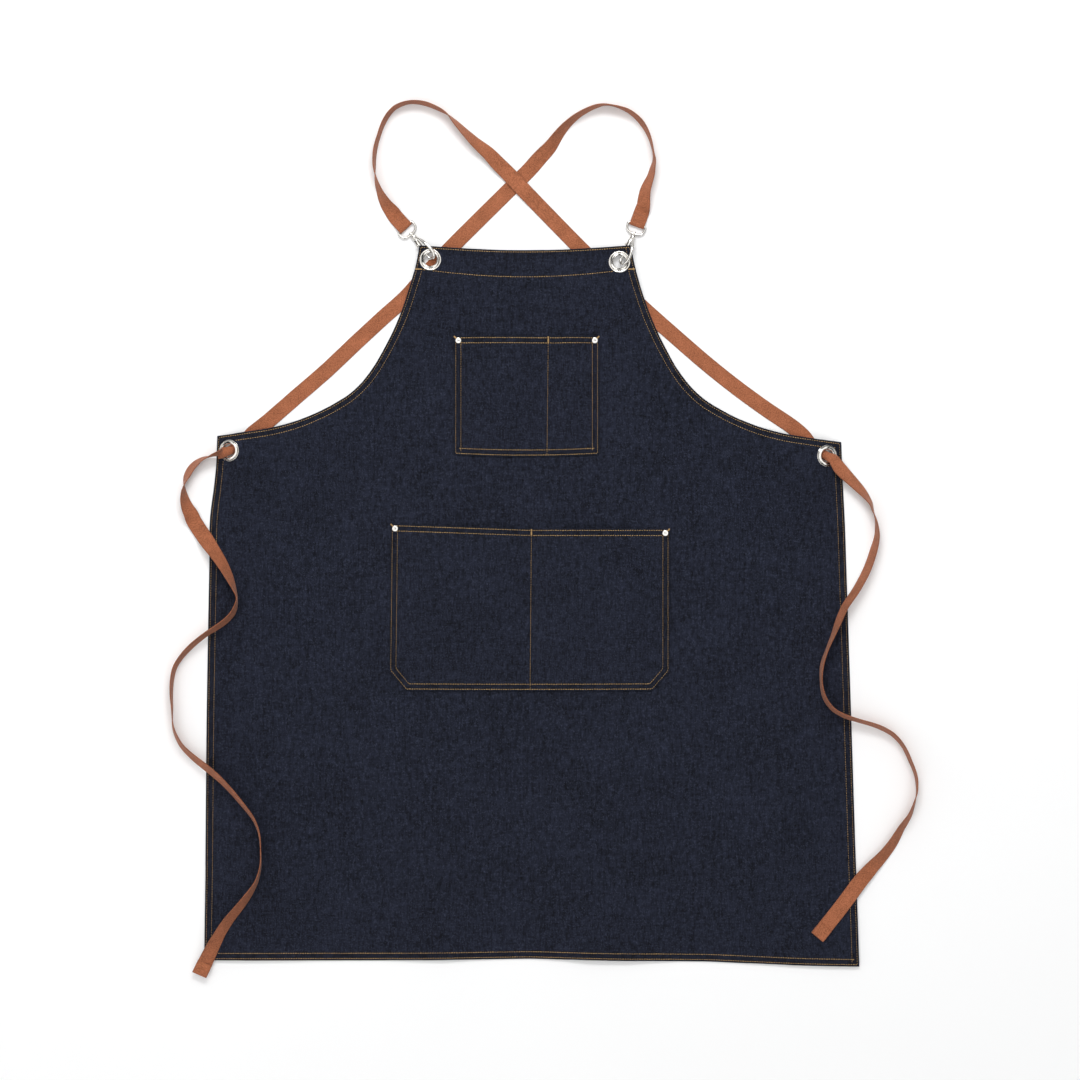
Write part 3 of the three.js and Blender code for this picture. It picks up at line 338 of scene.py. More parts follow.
def twill_tape(name, dark, light):
    """Dyed cotton twill tape with a herringbone. To the eye it is a matt caramel brown whose slanted
    ribs catch the light in turn. Its map runs along the tape, in metres. The ribs are 2.4 mm apart,
    three times the real spacing, so that they show."""
    material, tree = bare_material(name)
    flat = add(tree, "UVMap", uv_map="along_tape")
    across = add(tree, "SeparateXYZ", (flat,), "X")
    along = add(tree, "SeparateXYZ", (flat,), "Y")
    column = add(tree, "Math", (across, TAPE_WIDTH_MM * MM / 4), operation="PINGPONG")
    column = add(tree, "Math", (column, RIB_SLANT), operation="MULTIPLY")
    slanted = add(tree, "Math", (along, column), operation="ADD")
    slanted = add(tree, "Math", (slanted, 2 * math.pi / (RIB_SPACING_MM * MM)), operation="MULTIPLY")
    ribs = add(tree, "Math", (slanted,), operation="SINE")
    ribs = add(tree, "MapRange", (ribs, -1, 1))
    place = add(tree, "TexCoord", output="Object")
    tone = add(tree, "TexNoise", {"Vector": place, "Scale": 60.0, "Detail": 4.0, "Roughness": 0.6})
    fine = add(tree, "TexNoise", {"Vector": place, "Scale": 700.0, "Detail": 2.0, "Roughness": 0.5})
    share = add(tree, "MapRange", (tone, 0.3, 0.7, 0, 0.25))
    for pattern, low, high, most in ((fine, 0.38, 0.62, 0.4), (ribs, 0, 1, 0.35)):
        part = add(tree, "MapRange", (pattern, low, high, 0, most))
        share = add(tree, "Math", (share, part), operation="ADD")
    base = add(tree, "Mix", {FACTOR: share, FIRST: linear(dark), SECOND: linear(light)}, **COLOURS)
    edge = add(tree, "Math", (across,), operation="ABSOLUTE")
    selvedge = add(tree, "MapRange", (edge, SELVEDGE_MM[0] * MM, SELVEDGE_MM[1] * MM, 1.0, 0.78))
    mixing = {FACTOR: 1.0, FIRST: base, SECOND: selvedge}
    base = add(tree, "Mix", mixing, **COLOURS, blend_type="MULTIPLY")
    fine_height = add(tree, "Math", (fine, 0.8), operation="MULTIPLY")
    height = add(tree, "Math", (ribs, fine_height), operation="ADD")
    bump = add(tree, "Bump", {"Strength": 0.6, "Distance": 0.0002, "Height": height})
    surface = add(tree, "BsdfPrincipled", {
        "Base Color": base, "Roughness": 0.86, "Specular IOR Level": 0.3, "Sheen Weight": 0.1,
        "Sheen Roughness": 0.5, "Normal": bump,
    })
    add(tree, "OutputMaterial", {"Surface": surface})
    return material


def corded_thread(name, dark, light):
    """Heavy polyester topstitching thread, twisted from three plies. To the eye it is a line of short,
    slightly shiny stitches, no two of the same tone."""
    material, tree = bare_material(name)
    tone = add(tree, "Attribute", output="Fac", attribute_name="tone")
    tone = add(tree, "Math", (tone, 0.6), operation="MULTIPLY")
    place = add(tree, "TexCoord", output="Object")
    patch = add(tree, "TexNoise", {"Vector": place, "Scale": 40.0})
    patch = add(tree, "MapRange", (patch, 0.35, 0.65, 0, 0.4))
    share = add(tree, "Math", (tone, patch), operation="ADD")
    base = add(tree, "Mix", {FACTOR: share, FIRST: linear(dark), SECOND: linear(light)}, **COLOURS)
    fibre = add(tree, "TexNoise", {"Vector": place, "Scale": 2500.0})
    bump = add(tree, "Bump", {"Strength": 0.4, "Distance": 0.0001, "Height": fibre})
    surface = add(tree, "BsdfPrincipled", {"Base Color": base, "Roughness": 0.6, "Normal": bump})
    add(tree, "OutputMaterial", {"Surface": surface})
    return material


def bright_nickel(name, dark, light):
    """Steel and brass plated in bright nickel and barrel polished. To the eye it is a warm white mirror
    with a soft haze and faint dents, which darkens where it faces the cloth."""
    material, tree = bare_material(name)
    place = add(tree, "TexCoord", output="Object")
    haze = add(tree, "TexNoise", {"Vector": place, "Scale": 260.0, "Detail": 3.0, "Roughness": 0.6})
    share = add(tree, "MapRange", (haze, 0.3, 0.7))
    base = add(tree, "Mix", {FACTOR: share, FIRST: linear(dark), SECOND: linear(light)}, **COLOURS)
    roughness = add(tree, "MapRange", (haze, 0.3, 0.7, 0.07, 0.16))
    dents = add(tree, "TexNoise", {"Vector": place, "Scale": 300.0, "Detail": 1.0})
    bump = add(tree, "Bump", {"Strength": 0.05, "Distance": 0.0002, "Height": dents})
    surface = add(tree, "BsdfPrincipled", {
        "Base Color": base, "Metallic": 1.0, "Roughness": roughness, "Normal": bump,
    })
    add(tree, "OutputMaterial", {"Surface": surface})
    return material


def studio_floor(name, dark, light):
    """White vinyl backdrop, matt. To the eye it is a pale floor that blows out to white."""
    material, tree = bare_material(name)
    place = add(tree, "TexCoord", output="Object")
    tone = add(tree, "TexNoise", {"Vector": place, "Scale": 3.0})
    base = add(tree, "Mix", {FACTOR: tone, FIRST: linear(dark), SECOND: linear(light)}, **COLOURS)
    surface = add(tree, "BsdfPrincipled", {"Base Color": base, "Roughness": 0.95, "Specular IOR Level": 0.1})
    add(tree, "OutputMaterial", {"Surface": surface})
    return material


DENIM = raw_denim("raw_indigo_twill_denim", "#080A12", "#232736", "#666E88", 0.27)
DENIM_WRONG_SIDE = raw_denim("raw_denim_wrong_side", "#5F6675", "#8D94A3", "#C9CBD0", 0.6)
TAPE = twill_tape("dyed_cotton_herringbone_tape", "#66391F", "#BD7350")
THREAD = corded_thread("ochre_topstitch_thread", "#8E7045", "#BE9962")
TAPE_THREAD = corded_thread("brown_sewing_thread", "#6E3F2A", "#9A6046")
NICKEL = bright_nickel("bright_nickel_plate", "#D2CFC9", "#E8E5E0")
FLOOR = studio_floor("matt_white_vinyl", "#F4F4F4", "#F7F7F7")


# Cloth pieces


def cloth_edge(node):
    """The corners of a packed cloth's edge, anticlockwise from above, in millimetres."""
    shape = cad_copy(node)
    walls = {face for face in shape.faces if abs(face.normal.z) < 0.2}
    best = []
    while walls:
        patch = [walls.pop()]
        for face in patch:
            for edge in face.edges:
                for other in edge.link_faces:
                    if other in walls:
                        walls.discard(other)
                        patch.append(other)
        if sum(face.calc_area() for face in patch) > sum(face.calc_area() for face in best):
            best = patch
    best = set(best)
    beside = {}
    for face in best:
        for edge in face.edges:
            if any(other.normal.z > 0.2 for other in edge.link_faces):
                first, second = edge.verts
                beside.setdefault(first, []).append(second)
                beside.setdefault(second, []).append(first)
    start = min(beside, key=place_of)
    walk = [start, min(beside[start], key=place_of)]
    while True:
        here = walk[-1]
        onward = [vert for vert in beside[here] if vert is not walk[-2]]
        if not onward or onward[0] is start:
            break
        walk.append(onward[0])
    line = rows_of([vert.co[:2] for vert in walk]) / MM
    shape.free()
    after = np.roll(line, -1, axis=0)
    turn = (line[:, 0] * after[:, 1] - line[:, 1] * after[:, 0]).sum()
    return line if turn > 0 else line[::-1]


def corner_places(line, least=24):
    """Where a closed line turns sharply."""
    before = line - np.roll(line, 1, axis=0)
    after = np.roll(line, -1, axis=0) - line
    turn = np.arctan2(after[:, 1], after[:, 0]) - np.arctan2(before[:, 1], before[:, 0])
    turn = np.abs((turn + math.pi) % (2 * math.pi) - math.pi)
    return [place for place in range(len(line)) if turn[place] > math.radians(least)]


def softened_edge(line, step):
    """A closed line with smooth sides and its corners kept."""
    corners = corner_places(line)
    sides = []
    for index, start in enumerate(corners):
        end = corners[(index + 1) % len(corners)]
        count = (end - start) % len(line) or len(line)
        side = np.array([line[(start + place) % len(line)] for place in range(count + 1)])
        sides.append(even_steps(flowing(side, step / 3)[0], step))
    return np.concatenate([side[:-1] for side in sides])


def inset_line(line, depth):
    """A closed line moved inwards, its corners mitred."""
    before = line - np.roll(line, 1, axis=0)
    after = np.roll(line, -1, axis=0) - line
    before /= np.linalg.norm(before, axis=1)[:, None]
    after /= np.linalg.norm(after, axis=1)[:, None]
    normal = np.stack([-before[:, 1] - after[:, 1], before[:, 0] + after[:, 0]], 1)
    normal /= np.linalg.norm(normal, axis=1)[:, None]
    stretch = np.maximum(0.6, -normal[:, 0] * before[:, 1] + normal[:, 1] * before[:, 0])
    return line + normal * (depth / stretch)[:, None]


def inside(line, points):
    """Which points lie within a closed line."""
    after = np.roll(line, -1, axis=0)
    found = np.zeros(len(points), bool)
    for (x0, y0), (x1, y1) in zip(line, after):
        if y0 == y1:
            continue
        spans = (points[:, 1] < y0) != (points[:, 1] < y1)
        found ^= spans & (points[:, 0] < x0 + (points[:, 1] - y0) * (x1 - x0) / (y1 - y0))
    return found


def offsets_of(line, distances, step):
    """Rows of points beside an open line."""
    line = even_steps(line, step)
    along = np.gradient(line, axis=0)
    along /= np.linalg.norm(along, axis=1)[:, None]
    side = np.stack([-along[:, 1], along[:, 0]], 1)
    return np.concatenate([line + side * distance for distance in distances])


def thinned(points, apart):
    """Points of which no two share a small cell."""
    seen = set()
    kept = []
    for x, y in points:
        cell = (math.floor(x / apart), math.floor(y / apart))
        if cell not in seen:
            seen.add(cell)
            kept.append((x, y))
    return rows_of(kept)


def top_heights(shape, points, reach):
    """Height of a solid's upper face over each point, averaged over pairs of opposite points near it,
    so that a slope keeps its lean up to the edge."""
    tree = BVHTree.FromBMesh(shape)
    half_circle = []
    for radius, count in ((0.4 * reach, 3), (0.7 * reach, 4), (reach, 5)):
        for step in range(count):
            angle = math.pi * step / count
            half_circle.append((radius * math.cos(angle), radius * math.sin(angle)))

    def height(x, y):
        hit, normal, _, _ = tree.ray_cast(Vector((x * MM, y * MM, 0.1)), Vector((0, 0, -1)))
        return hit.z / MM if hit is not None and normal.z > 0.2 else None

    heights = []
    for x, y in points:
        found = [height(x, y)]
        if found[0] is None:
            found = [tree.find_nearest(Vector((x * MM, y * MM, 0.006)))[0].z / MM]
        for dx, dy in half_circle:
            pair = [height(x + dx, y + dy), height(x - dx, y - dy)]
            if None not in pair:
                found += pair
        heights.append(sum(found) / len(found))
    return np.array(heights)


def low_waves(points):
    """Slight unevenness of cloth that lies flat."""
    x = points[:, 0]
    y = points[:, 1]
    return (
        0.07 * np.sin(x / 23 + 0.7 * np.sin(y / 61)) + 0.06 * np.sin(y / 31 + 1.3 * np.sin(x / 47))
        + 0.05 * np.sin((x + 0.6 * y) / 15 + 2)
    )


def from_holes(points, holes):
    """How far each point is from the middle of the nearest hole. A tilted hole looks narrower."""
    away = [np.hypot((points[:, 0] - x) / squeeze, points[:, 1] - y) for x, y, squeeze in holes]
    return np.min([np.full(len(points), np.inf), *away], axis=0)


def cloth_piece(name, node, edge, seams, holes, hem, band, reach, spacing):
    """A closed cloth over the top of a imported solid, its edges rounded and its seams drawn in."""
    shape = cad_copy(node)
    rows = [inset_line(edge, depth) for depth in (*RIM_ROWS_MM, hem - STEP_MM, hem + STEP_MM)]
    rows += [offsets_of(seam, SEAM_LINES_MM, 4) for seam in seams]
    beside = thinned(np.concatenate(rows), CLOSEST_MM)
    closed_edge = np.concatenate([edge, edge[:1]])
    low = edge.min(0)
    high = edge.max(0)
    grid = []
    for row, y in enumerate(np.arange(low[1], high[1], spacing * 0.87)):
        shift = spacing / 2 * (row % 2)
        grid += [(x, y) for x in np.arange(low[0] + shift, high[0], spacing)]
    grid = rows_of(grid)
    grid = grid[inside(edge, grid)]
    grid = grid[distance_to([closed_edge, *seams], grid) > GRID_CLEAR_MM]
    beside = beside[inside(edge, beside)]
    beside = beside[distance_to([closed_edge], beside) > 0.4]
    points = np.concatenate([beside, grid])
    points = points[from_holes(points, holes) > HOLE_RADIUS_MM + 0.7]
    turns = np.arange(HOLE_SIDES) * 2 * math.pi / HOLE_SIDES
    round_hole = HOLE_RADIUS_MM * np.stack([np.cos(turns), np.sin(turns)], 1)
    circles = [round_hole * (squeeze, 1) + (x, y) for x, y, squeeze in holes]
    corners = np.concatenate([edge, *circles, points])
    links = []
    for index in range(len(circles)):
        start = len(edge) + index * HOLE_SIDES
        links += [(start + place, start + (place + 1) % HOLE_SIDES) for place in range(HOLE_SIDES)]
    found = delaunay_2d_cdt([Vector(p) for p in corners], links, [list(range(len(edge)))], 1, 1e-4)
    flat = rows_of([tuple(vert) for vert in found[0]])
    faces = np.array(found[2])
    faces = faces[from_holes(flat[faces].mean(1), holes) >= HOLE_RADIUS_MM - 0.01]
    used, faces = np.unique(faces, return_inverse=True)
    flat = flat[used]
    faces = [tuple(face) for face in faces.reshape(-1, 3).tolist()]
    rim = distance_to([closed_edge], flat)
    seam = distance_to(seams, flat)
    drawn_in = SEAM_DEPTH_MM * np.exp(-((seam / SEAM_WIDTH_MM) ** 2))
    rounded = EDGE_DROP_MM * np.clip(1 - rim / EDGE_ROUND_MM, 0, 1) ** 2
    base = top_heights(shape, flat, reach)
    shape.free()
    hemmed = rim < hem
    if band is not None:
        hemmed |= flat[:, 1] > band(flat[:, 0])
    top = base + low_waves(flat) - drawn_in - rounded
    thick = np.where(hemmed, HEMMED_CLOTH_MM, SINGLE_CLOTH_MM)
    under = np.maximum(base - thick, FLOOR_MM + ABOVE_FLOOR_MM) + 0.35 * rounded
    return closed_cloth(name, flat, faces, top, under, rim, seam, hemmed)


def closed_cloth(name, flat, faces, top, under, rim, seam, hemmed):
    """Upper and lower faces of a cloth with a rounded edge between them."""
    count = len(flat)
    points = np.concatenate([np.column_stack([flat, top]), np.column_stack([flat, under])])
    sides = {pair: None for face in faces for pair in zip(face, face[1:] + face[:1])}
    open_sides = [pair for pair in sides if pair[::-1] not in sides]
    outward = {}
    for here, after in open_sides:
        along = flat[after] - flat[here]
        normal = np.array([along[1], -along[0]]) / max(np.linalg.norm(along), 1e-9)
        for corner in (here, after):
            outward[corner] = outward.get(corner, 0) + normal
    middle = {}
    extra = []
    for corner, normal in outward.items():
        normal = normal / max(np.linalg.norm(normal), 1e-9)
        bulge = EDGE_BULGE_MM if rim[corner] < 0.2 else 0.0
        middle[corner] = 2 * count + len(extra)
        height = (top[corner] + under[corner]) / 2
        extra.append((*(flat[corner] + bulge * normal), height))
    points = np.concatenate([points, rows_of(extra)])
    skin = faces + [tuple(corner + count for corner in face[::-1]) for face in faces]
    for here, after in open_sides:
        skin.append((after, here, middle[here], middle[after]))
        skin.append((middle[after], middle[here], here + count, after + count))
    piece = dress(mesh_object(name, points * MM, skin), DENIM, "apron")
    piece.data.materials.append(DENIM_WRONG_SIDE)
    wrong = [int(not hemmed[list(face)].any()) for face in faces]
    slots = [0] * len(faces) + wrong + [0] * (2 * len(open_sides))
    piece.data.polygons.foreach_set("material_index", slots)
    tails = list(middle)
    for attribute, values in (("rim", rim), ("seam", seam)):
        layer = piece.data.attributes.new(attribute, "FLOAT", "POINT")
        layer.data.foreach_set("value", np.concatenate([values, values, values[tails]]).astype(np.float32))
    return piece


def band_line(x, end=TOP_MM - BAND_DEPTH_MM, dip=TOP_DIP_MM):
    """Height on the bib of the lower edge of its top band."""
    share = np.clip((x - TOP_LEFT_MM) / TOP_WIDTH_MM, 0, 1)
    return end - dip * (1 - (2 * share - 1) ** 2)


def band_row(x):
    """Height of the row of stitches that holds the band down."""
    return band_line(x, BAND_ROW_MM, BAND_ROW_DIP_MM)


def kept_run(line, keep):
    """The first run of points that are kept of a closed line."""
    first = next(place for place in range(len(line)) if keep[place] and not keep[place - 1])
    keep = np.roll(keep, -first)
    return np.roll(line, -first, axis=0)[:list(keep).index(False)]


def body_seams(edge):
    """Two rows round the sides and hem, one along the top, and the band's lower row."""
    outer = inset_line(edge, OUTER_SEAM_MM)
    outer = np.concatenate([outer, outer[:1]])
    inner = inset_line(edge, INNER_SEAM_MM)
    inner = kept_run(inner, inner[:, 1] < band_row(inner[:, 0]) + 1)
    ends = edge[np.abs(edge[:, 1] - band_row(edge[:, 0])) < 6]
    left = ends[:, 0].min() + OUTER_SEAM_MM
    right = ends[:, 0].max() - OUTER_SEAM_MM
    across = np.linspace(left, right, 60)
    return [outer, inner, np.column_stack([across, band_row(across)]), rows_of(SHORT_ROW)]


def pocket_seams(edge, divider):
    """Two rows round a pocket and the row that divides it."""
    rows = []
    for depth in (OUTER_SEAM_MM - 0.2, INNER_SEAM_MM - 0.3):
        row = inset_line(edge, depth)
        rows.append(np.concatenate([row, row[:1]]))
    low = edge.min(0)
    high = edge.max(0)
    x = low[0] + divider * (high[0] - low[0])
    near = edge[np.abs(edge[:, 0] - x) < 6]
    middle = (low[1] + high[1]) / 2
    bottom = near[near[:, 1] < middle][:, 1].mean() + OUTER_SEAM_MM
    top = near[near[:, 1] > middle][:, 1].mean() - OUTER_SEAM_MM
    rows.append(rows_of([(x - 0.8, bottom), (x + 0.8, top)]))
    return rows


# Stitches


def thread_bead():
    """One stitch along X: a spindle of three rings, its length and width one."""
    points = [(-0.5, 0, 0)]
    for along, girth in ((-0.36, 0.4), (0, 0.5), (0.36, 0.4)):
        for side in range(BEAD_SIDES):
            angle = 2 * math.pi * side / BEAD_SIDES
            points.append((along, girth * math.cos(angle), girth * math.sin(angle)))
    tip = len(points)
    points.append((0.5, 0, 0))
    faces = []
    for side in range(BEAD_SIDES):
        here = 1 + side
        after = 1 + (side + 1) % BEAD_SIDES
        faces.append((0, after, here))
        for ring in (0, BEAD_SIDES):
            ahead = ring + BEAD_SIDES
            faces.append((ring + here, ring + after, ahead + after, ahead + here))
        faces.append((tip, 2 * BEAD_SIDES + here, 2 * BEAD_SIDES + after))
    return rows_of(points), faces


BEAD_POINTS, BEAD_FACES = thread_bead()


def stitch_mesh(name, beads, material):
    """All the stitches of a piece as one mesh. A bead is its two ends, width and height."""
    points = []
    faces = []
    tones = []
    for start, end, width, height in beads:
        along = end - start
        length = np.linalg.norm(along)
        along = along / length
        side = np.cross([0.0, 0.0, 1.0], along)
        side /= np.linalg.norm(side)
        above = np.cross(along, side)
        axes = np.stack([along * length, side * width, above * height])
        first = len(points) * len(BEAD_POINTS)
        points.append((start + end) / 2 + BEAD_POINTS @ axes)
        faces += [tuple(first + corner for corner in face) for face in BEAD_FACES]
        tones += [chance.random()] * len(BEAD_POINTS)
    piece = dress(mesh_object(name, np.concatenate(points) * MM, faces), material, "apron")
    layer = piece.data.attributes.new("tone", "FLOAT", "POINT")
    layer.data.foreach_set("value", rows_of(tones).astype(np.float32))
    return piece


def surface_tree(piece):
    """Finds where a ray from above meets a piece."""
    points = [vert.co.copy() for vert in piece.data.vertices]
    return BVHTree.FromPolygons(points, [tuple(face.vertices) for face in piece.data.polygons])


def on_surface(tree, x, y):
    hit = tree.ray_cast(Vector((x * MM, y * MM, 0.1)), Vector((0, 0, -1)))[0]
    return None if hit is None else hit.z / MM


def under_a_ring(x, y):
    return any(math.hypot(x - at[0], y - at[1]) < FLANGE_MM + 0.4 for at in GROMMETS.values())


def row_of_stitches(tree, line):
    """Stitches at an even pitch along a line on the cloth. Where a row runs up the cloth they sink in
    between its warp threads and show less."""
    beads = []
    line = even_steps(line, STITCH_MM)
    for first, second in zip(line, line[1:]):
        gap = second - first
        length = np.linalg.norm(gap)
        if length < STITCH_MM / 2:
            continue
        along = gap / length
        side = np.array([-along[1], along[0]])
        shown = THREAD_LENGTH_MM / STITCH_MM * length * chance.uniform(0.93, 1.05)
        middle = (first + second) / 2 + side * chance.uniform(-STITCH_WANDER_MM, STITCH_WANDER_MM)
        lean = side * chance.uniform(-STITCH_LEAN_MM, STITCH_LEAN_MM)
        ends = [middle - along * shown / 2 - lean, middle + along * shown / 2 + lean]
        heights = [on_surface(tree, *end) for end in ends]
        if None in heights or abs(heights[0] - heights[1]) > 1.5 or under_a_ring(*middle):
            continue
        start, end = [np.array([*end, height + 0.1]) for end, height in zip(ends, heights)]
        shown_width = THREAD_WIDTH_MM * (1 - SUNK_SHARE * abs(along[1])) * chance.uniform(0.9, 1.1)
        beads.append((start, end, shown_width, THREAD_HEIGHT_MM))
    return beads


def bar_tack(tree, middle, direction, length):
    """A short dense bar of threads laid side by side."""
    angle = math.radians(direction)
    along = np.array([math.cos(angle), math.sin(angle)])
    side = np.array([-along[1], along[0]])
    beads = []
    for share in np.arange(-0.5, 0.51, TACK_PITCH_MM / length):
        at = np.array(middle) + along * share * length
        half = side * TACK_REACH_MM * chance.uniform(0.9, 1.1) + along * 0.2
        height = on_surface(tree, *at)
        if height is None:
            continue
        start = np.array([*(at - half), height + TACK_LIFT_MM])
        end = np.array([*(at + half), height + TACK_LIFT_MM])
        beads.append((start, end, TACK_THREAD_MM, TACK_HEIGHT_MM))
    return beads


# Tape straps


def tape_rows(node, start):
    """The rows of a packed tape from the end nearest to a point: centres, ways across and widths. Each
    way across points to the tape's right, seen from its upper side."""
    shape = cad_copy(node)
    wide = TAPE_WIDTH_MM * MM
    thick = TAPE_THICKNESS_MM * MM
    ends = []
    for face in shape.faces:
        sizes = sorted(edge.calc_length() for edge in face.edges)
        if abs(sizes[0] - thick) < 2e-5 and abs(sizes[1] - wide) < 3e-5:
            ends.append(face)
    nearest = min(ends, key=lambda face: (face.calc_center_median() - start).length)
    partner = min(
        (face for face in ends if face is not nearest),
        key=lambda face: (face.calc_center_median() - nearest.calc_center_median()).length,
    )
    layer = set(nearest.verts) | set(partner.verts)
    seen = set()
    layers = []
    while layer:
        seen.update(layer)
        layers.append([np.array(vert.co) for vert in sorted(layer, key=place_of)])
        middle = Vector(sum(layers[-1]) / 4)
        layer = {edge.other_vert(vert) for vert in layer for edge in vert.link_edges} - seen
        layer = sorted(layer, key=lambda vert: ((vert.co - middle).length, place_of(vert)))[:4]
    shape.free()
    centres = rows_of([sum(row) / 4 for row in layers])
    ways = []
    widths = []
    first = layers[0]
    ways_out = [corner - first[0] for corner in first]
    across = max(ways_out, key=lambda way: abs(np.linalg.norm(way) - wide) < 3e-5)
    if np.cross(centres[1] - centres[0], across)[2] > 0:
        across = -across
    for row, centre in zip(layers, centres):
        far = sum(corner for corner in row if np.dot(corner - centre, across) > 0) / 2
        near = sum(corner for corner in row if np.dot(corner - centre, across) <= 0) / 2
        across = far - near
        widths.append(np.linalg.norm(across))
        ways.append(across / widths[-1])
    return centres / MM, rows_of(ways), rows_of(widths) / MM


def tube_faces(rows, sides, closed=False):
    """The skin between rows of corners round a line, with a face on each end of an open one."""
    faces = []
    for row in range(rows if closed else rows - 1):
        here = row * sides
        ahead = (row + 1) % rows * sides
        for side in range(sides):
            after = (side + 1) % sides
            faces.append((here + side, here + after, ahead + after, ahead + side))
    if not closed:
        last = (rows - 1) * sides
        faces.append(tuple(range(sides))[::-1])
        faces.append(tuple(last + side for side in range(sides)))
    return faces


def tape_section():
    """Places round the tape's section: across from -1 to 1, and up from -1 to 1."""
    upper = [(share, 1.0) for share in (0.97, 0.75, 0.5, 0.25, 0, -0.25, -0.5, -0.75, -0.97)]
    lower = [(-across, -1.0) for across, _ in upper]
    return lower + [(1.0, -0.5), (1.0, 0.5)] + upper + [(-1.0, 0.5), (-1.0, -0.5)]


def tape_piece(name, node, start):
    """A tape with rounded edges, folded lengthwise where it squeezes through its grommet."""
    centres, ways, widths = tape_rows(node, start)
    line, place = flowing(centres, 3.0, 2)
    indices = np.arange(len(centres))
    across = np.stack([np.interp(place, indices, ways[:, axis]) for axis in range(3)], 1)
    width = np.interp(place, indices, widths)
    for _ in range(2):
        across[1:-1] = (across[:-2] + across[1:-1] + across[2:]) / 3
        width[1:-1] = (width[:-2] + width[1:-1] + width[2:]) / 3
    along = np.gradient(line, axis=0)
    along /= np.linalg.norm(along, axis=1)[:, None]
    across -= along * (across * along).sum(1)[:, None]
    across /= np.linalg.norm(across, axis=1)[:, None]
    through = np.cross(along, across)
    gone = np.concatenate([[0], np.cumsum(np.linalg.norm(np.diff(line, axis=0), axis=1))])
    section = tape_section()
    cup = 0.5 * (TAPE_WIDTH_MM - width)
    points = []
    for row in range(len(line)):
        corners = []
        for side, up in section:
            lift = 0.5 * TAPE_THICKNESS_MM * up + cup[row] * (0.33 - side * side)
            corners.append(line[row] + across[row] * side * width[row] / 2 + through[row] * lift)
        corners = rows_of(corners)
        corners[:, 2] += max(0, FLOOR_MM + ABOVE_FLOOR_MM - corners[:, 2].min())
        points += list(corners)
    sides = len(section)
    faces = tube_faces(len(line), sides)
    piece = dress(mesh_object(name, rows_of(points) * MM, faces), TAPE, "apron")
    layer = piece.data.uv_layers.new(name="along_tape")
    flat = []
    for loop in piece.data.loops:
        row, side = divmod(loop.vertex_index, sides)
        flat += [section[side][0] * TAPE_WIDTH_MM * MM / 2, gone[row] * MM]
    layer.data.foreach_set("uv", rows_of(flat).astype(np.float32))
    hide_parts(node)
    return piece


# Metal pieces


def arc(centre, radius, start, end, steps):
    """Corners along an arc, as radius and height, its angles in degrees from straight out."""
    angles = np.radians(np.linspace(start, end, steps + 1))
    x, y = centre
    return [(x + radius * math.cos(angle), y + radius * math.sin(angle)) for angle in angles]


POLE = 1e-4


def turned(name, corners, sides=64):
    """A round piece about Z in millimetres, drawn out ring by ring from a first circle. Corners run
    from the axis to the axis, or round a closed section."""
    deselect()
    radius, height = corners[0]
    closed = corners[0][0] > POLE
    bpy.ops.mesh.primitive_circle_add(vertices=sides, radius=radius, location=(0, 0, 0))
    piece = bpy.context.object
    piece.name = name
    bpy.ops.object.mode_set(mode="EDIT")
    bpy.ops.transform.translate(value=(0, 0, height))
    for after_radius, after_height in corners[1:]:
        rise = {"value": (0, 0, after_height - height)}
        bpy.ops.mesh.extrude_region_move(TRANSFORM_OT_translate=rise)
        scale = after_radius / radius
        bpy.ops.transform.resize(value=(scale, scale, 1), center_override=(0, 0, after_height))
        radius = after_radius
        height = after_height
    bpy.ops.mesh.select_all(action="SELECT")
    if closed:
        bpy.ops.mesh.select_mode(type="EDGE")
        bpy.ops.mesh.select_all(action="DESELECT")
        bpy.ops.mesh.select_non_manifold()
        bpy.ops.mesh.bridge_edge_loops()
        bpy.ops.mesh.select_all(action="SELECT")
    bpy.ops.mesh.remove_doubles(threshold=0.002)
    bpy.ops.mesh.normals_make_consistent(inside=False)
    bpy.ops.object.mode_set(mode="OBJECT")
    return piece


def placed(x, y, z, turn, axis):
    """A place in millimetres and a turn about an axis there, in degrees."""
    return Matrix.Translation((x * MM, y * MM, z * MM)) @ Matrix.Rotation(math.radians(turn), 4, axis)


def set_copy(model, node, place, body="apron"):
    """A copy of a model in millimetres, put in its place in metres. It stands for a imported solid."""
    piece = model.copy()
    piece.data = model.data.copy()
    piece.name = f"nickel_{node}"
    bpy.context.scene.collection.objects.link(piece)
    piece.data.transform(place @ Matrix.Scale(MM, 4))
    piece.data.update()
    dress(piece, NICKEL, body, 35)
    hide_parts(node)


def fused(piece, *others, how="UNION"):
    """Joins pieces to one, or cuts them out of it."""
    for other in others:
        change = piece.modifiers.new("join", "BOOLEAN")
        change.operation = how
        change.solver = "EXACT"
        change.object = other
        chosen(piece)
        bpy.ops.object.modifier_apply(modifier="join")
        bpy.data.objects.remove(other)
    return piece


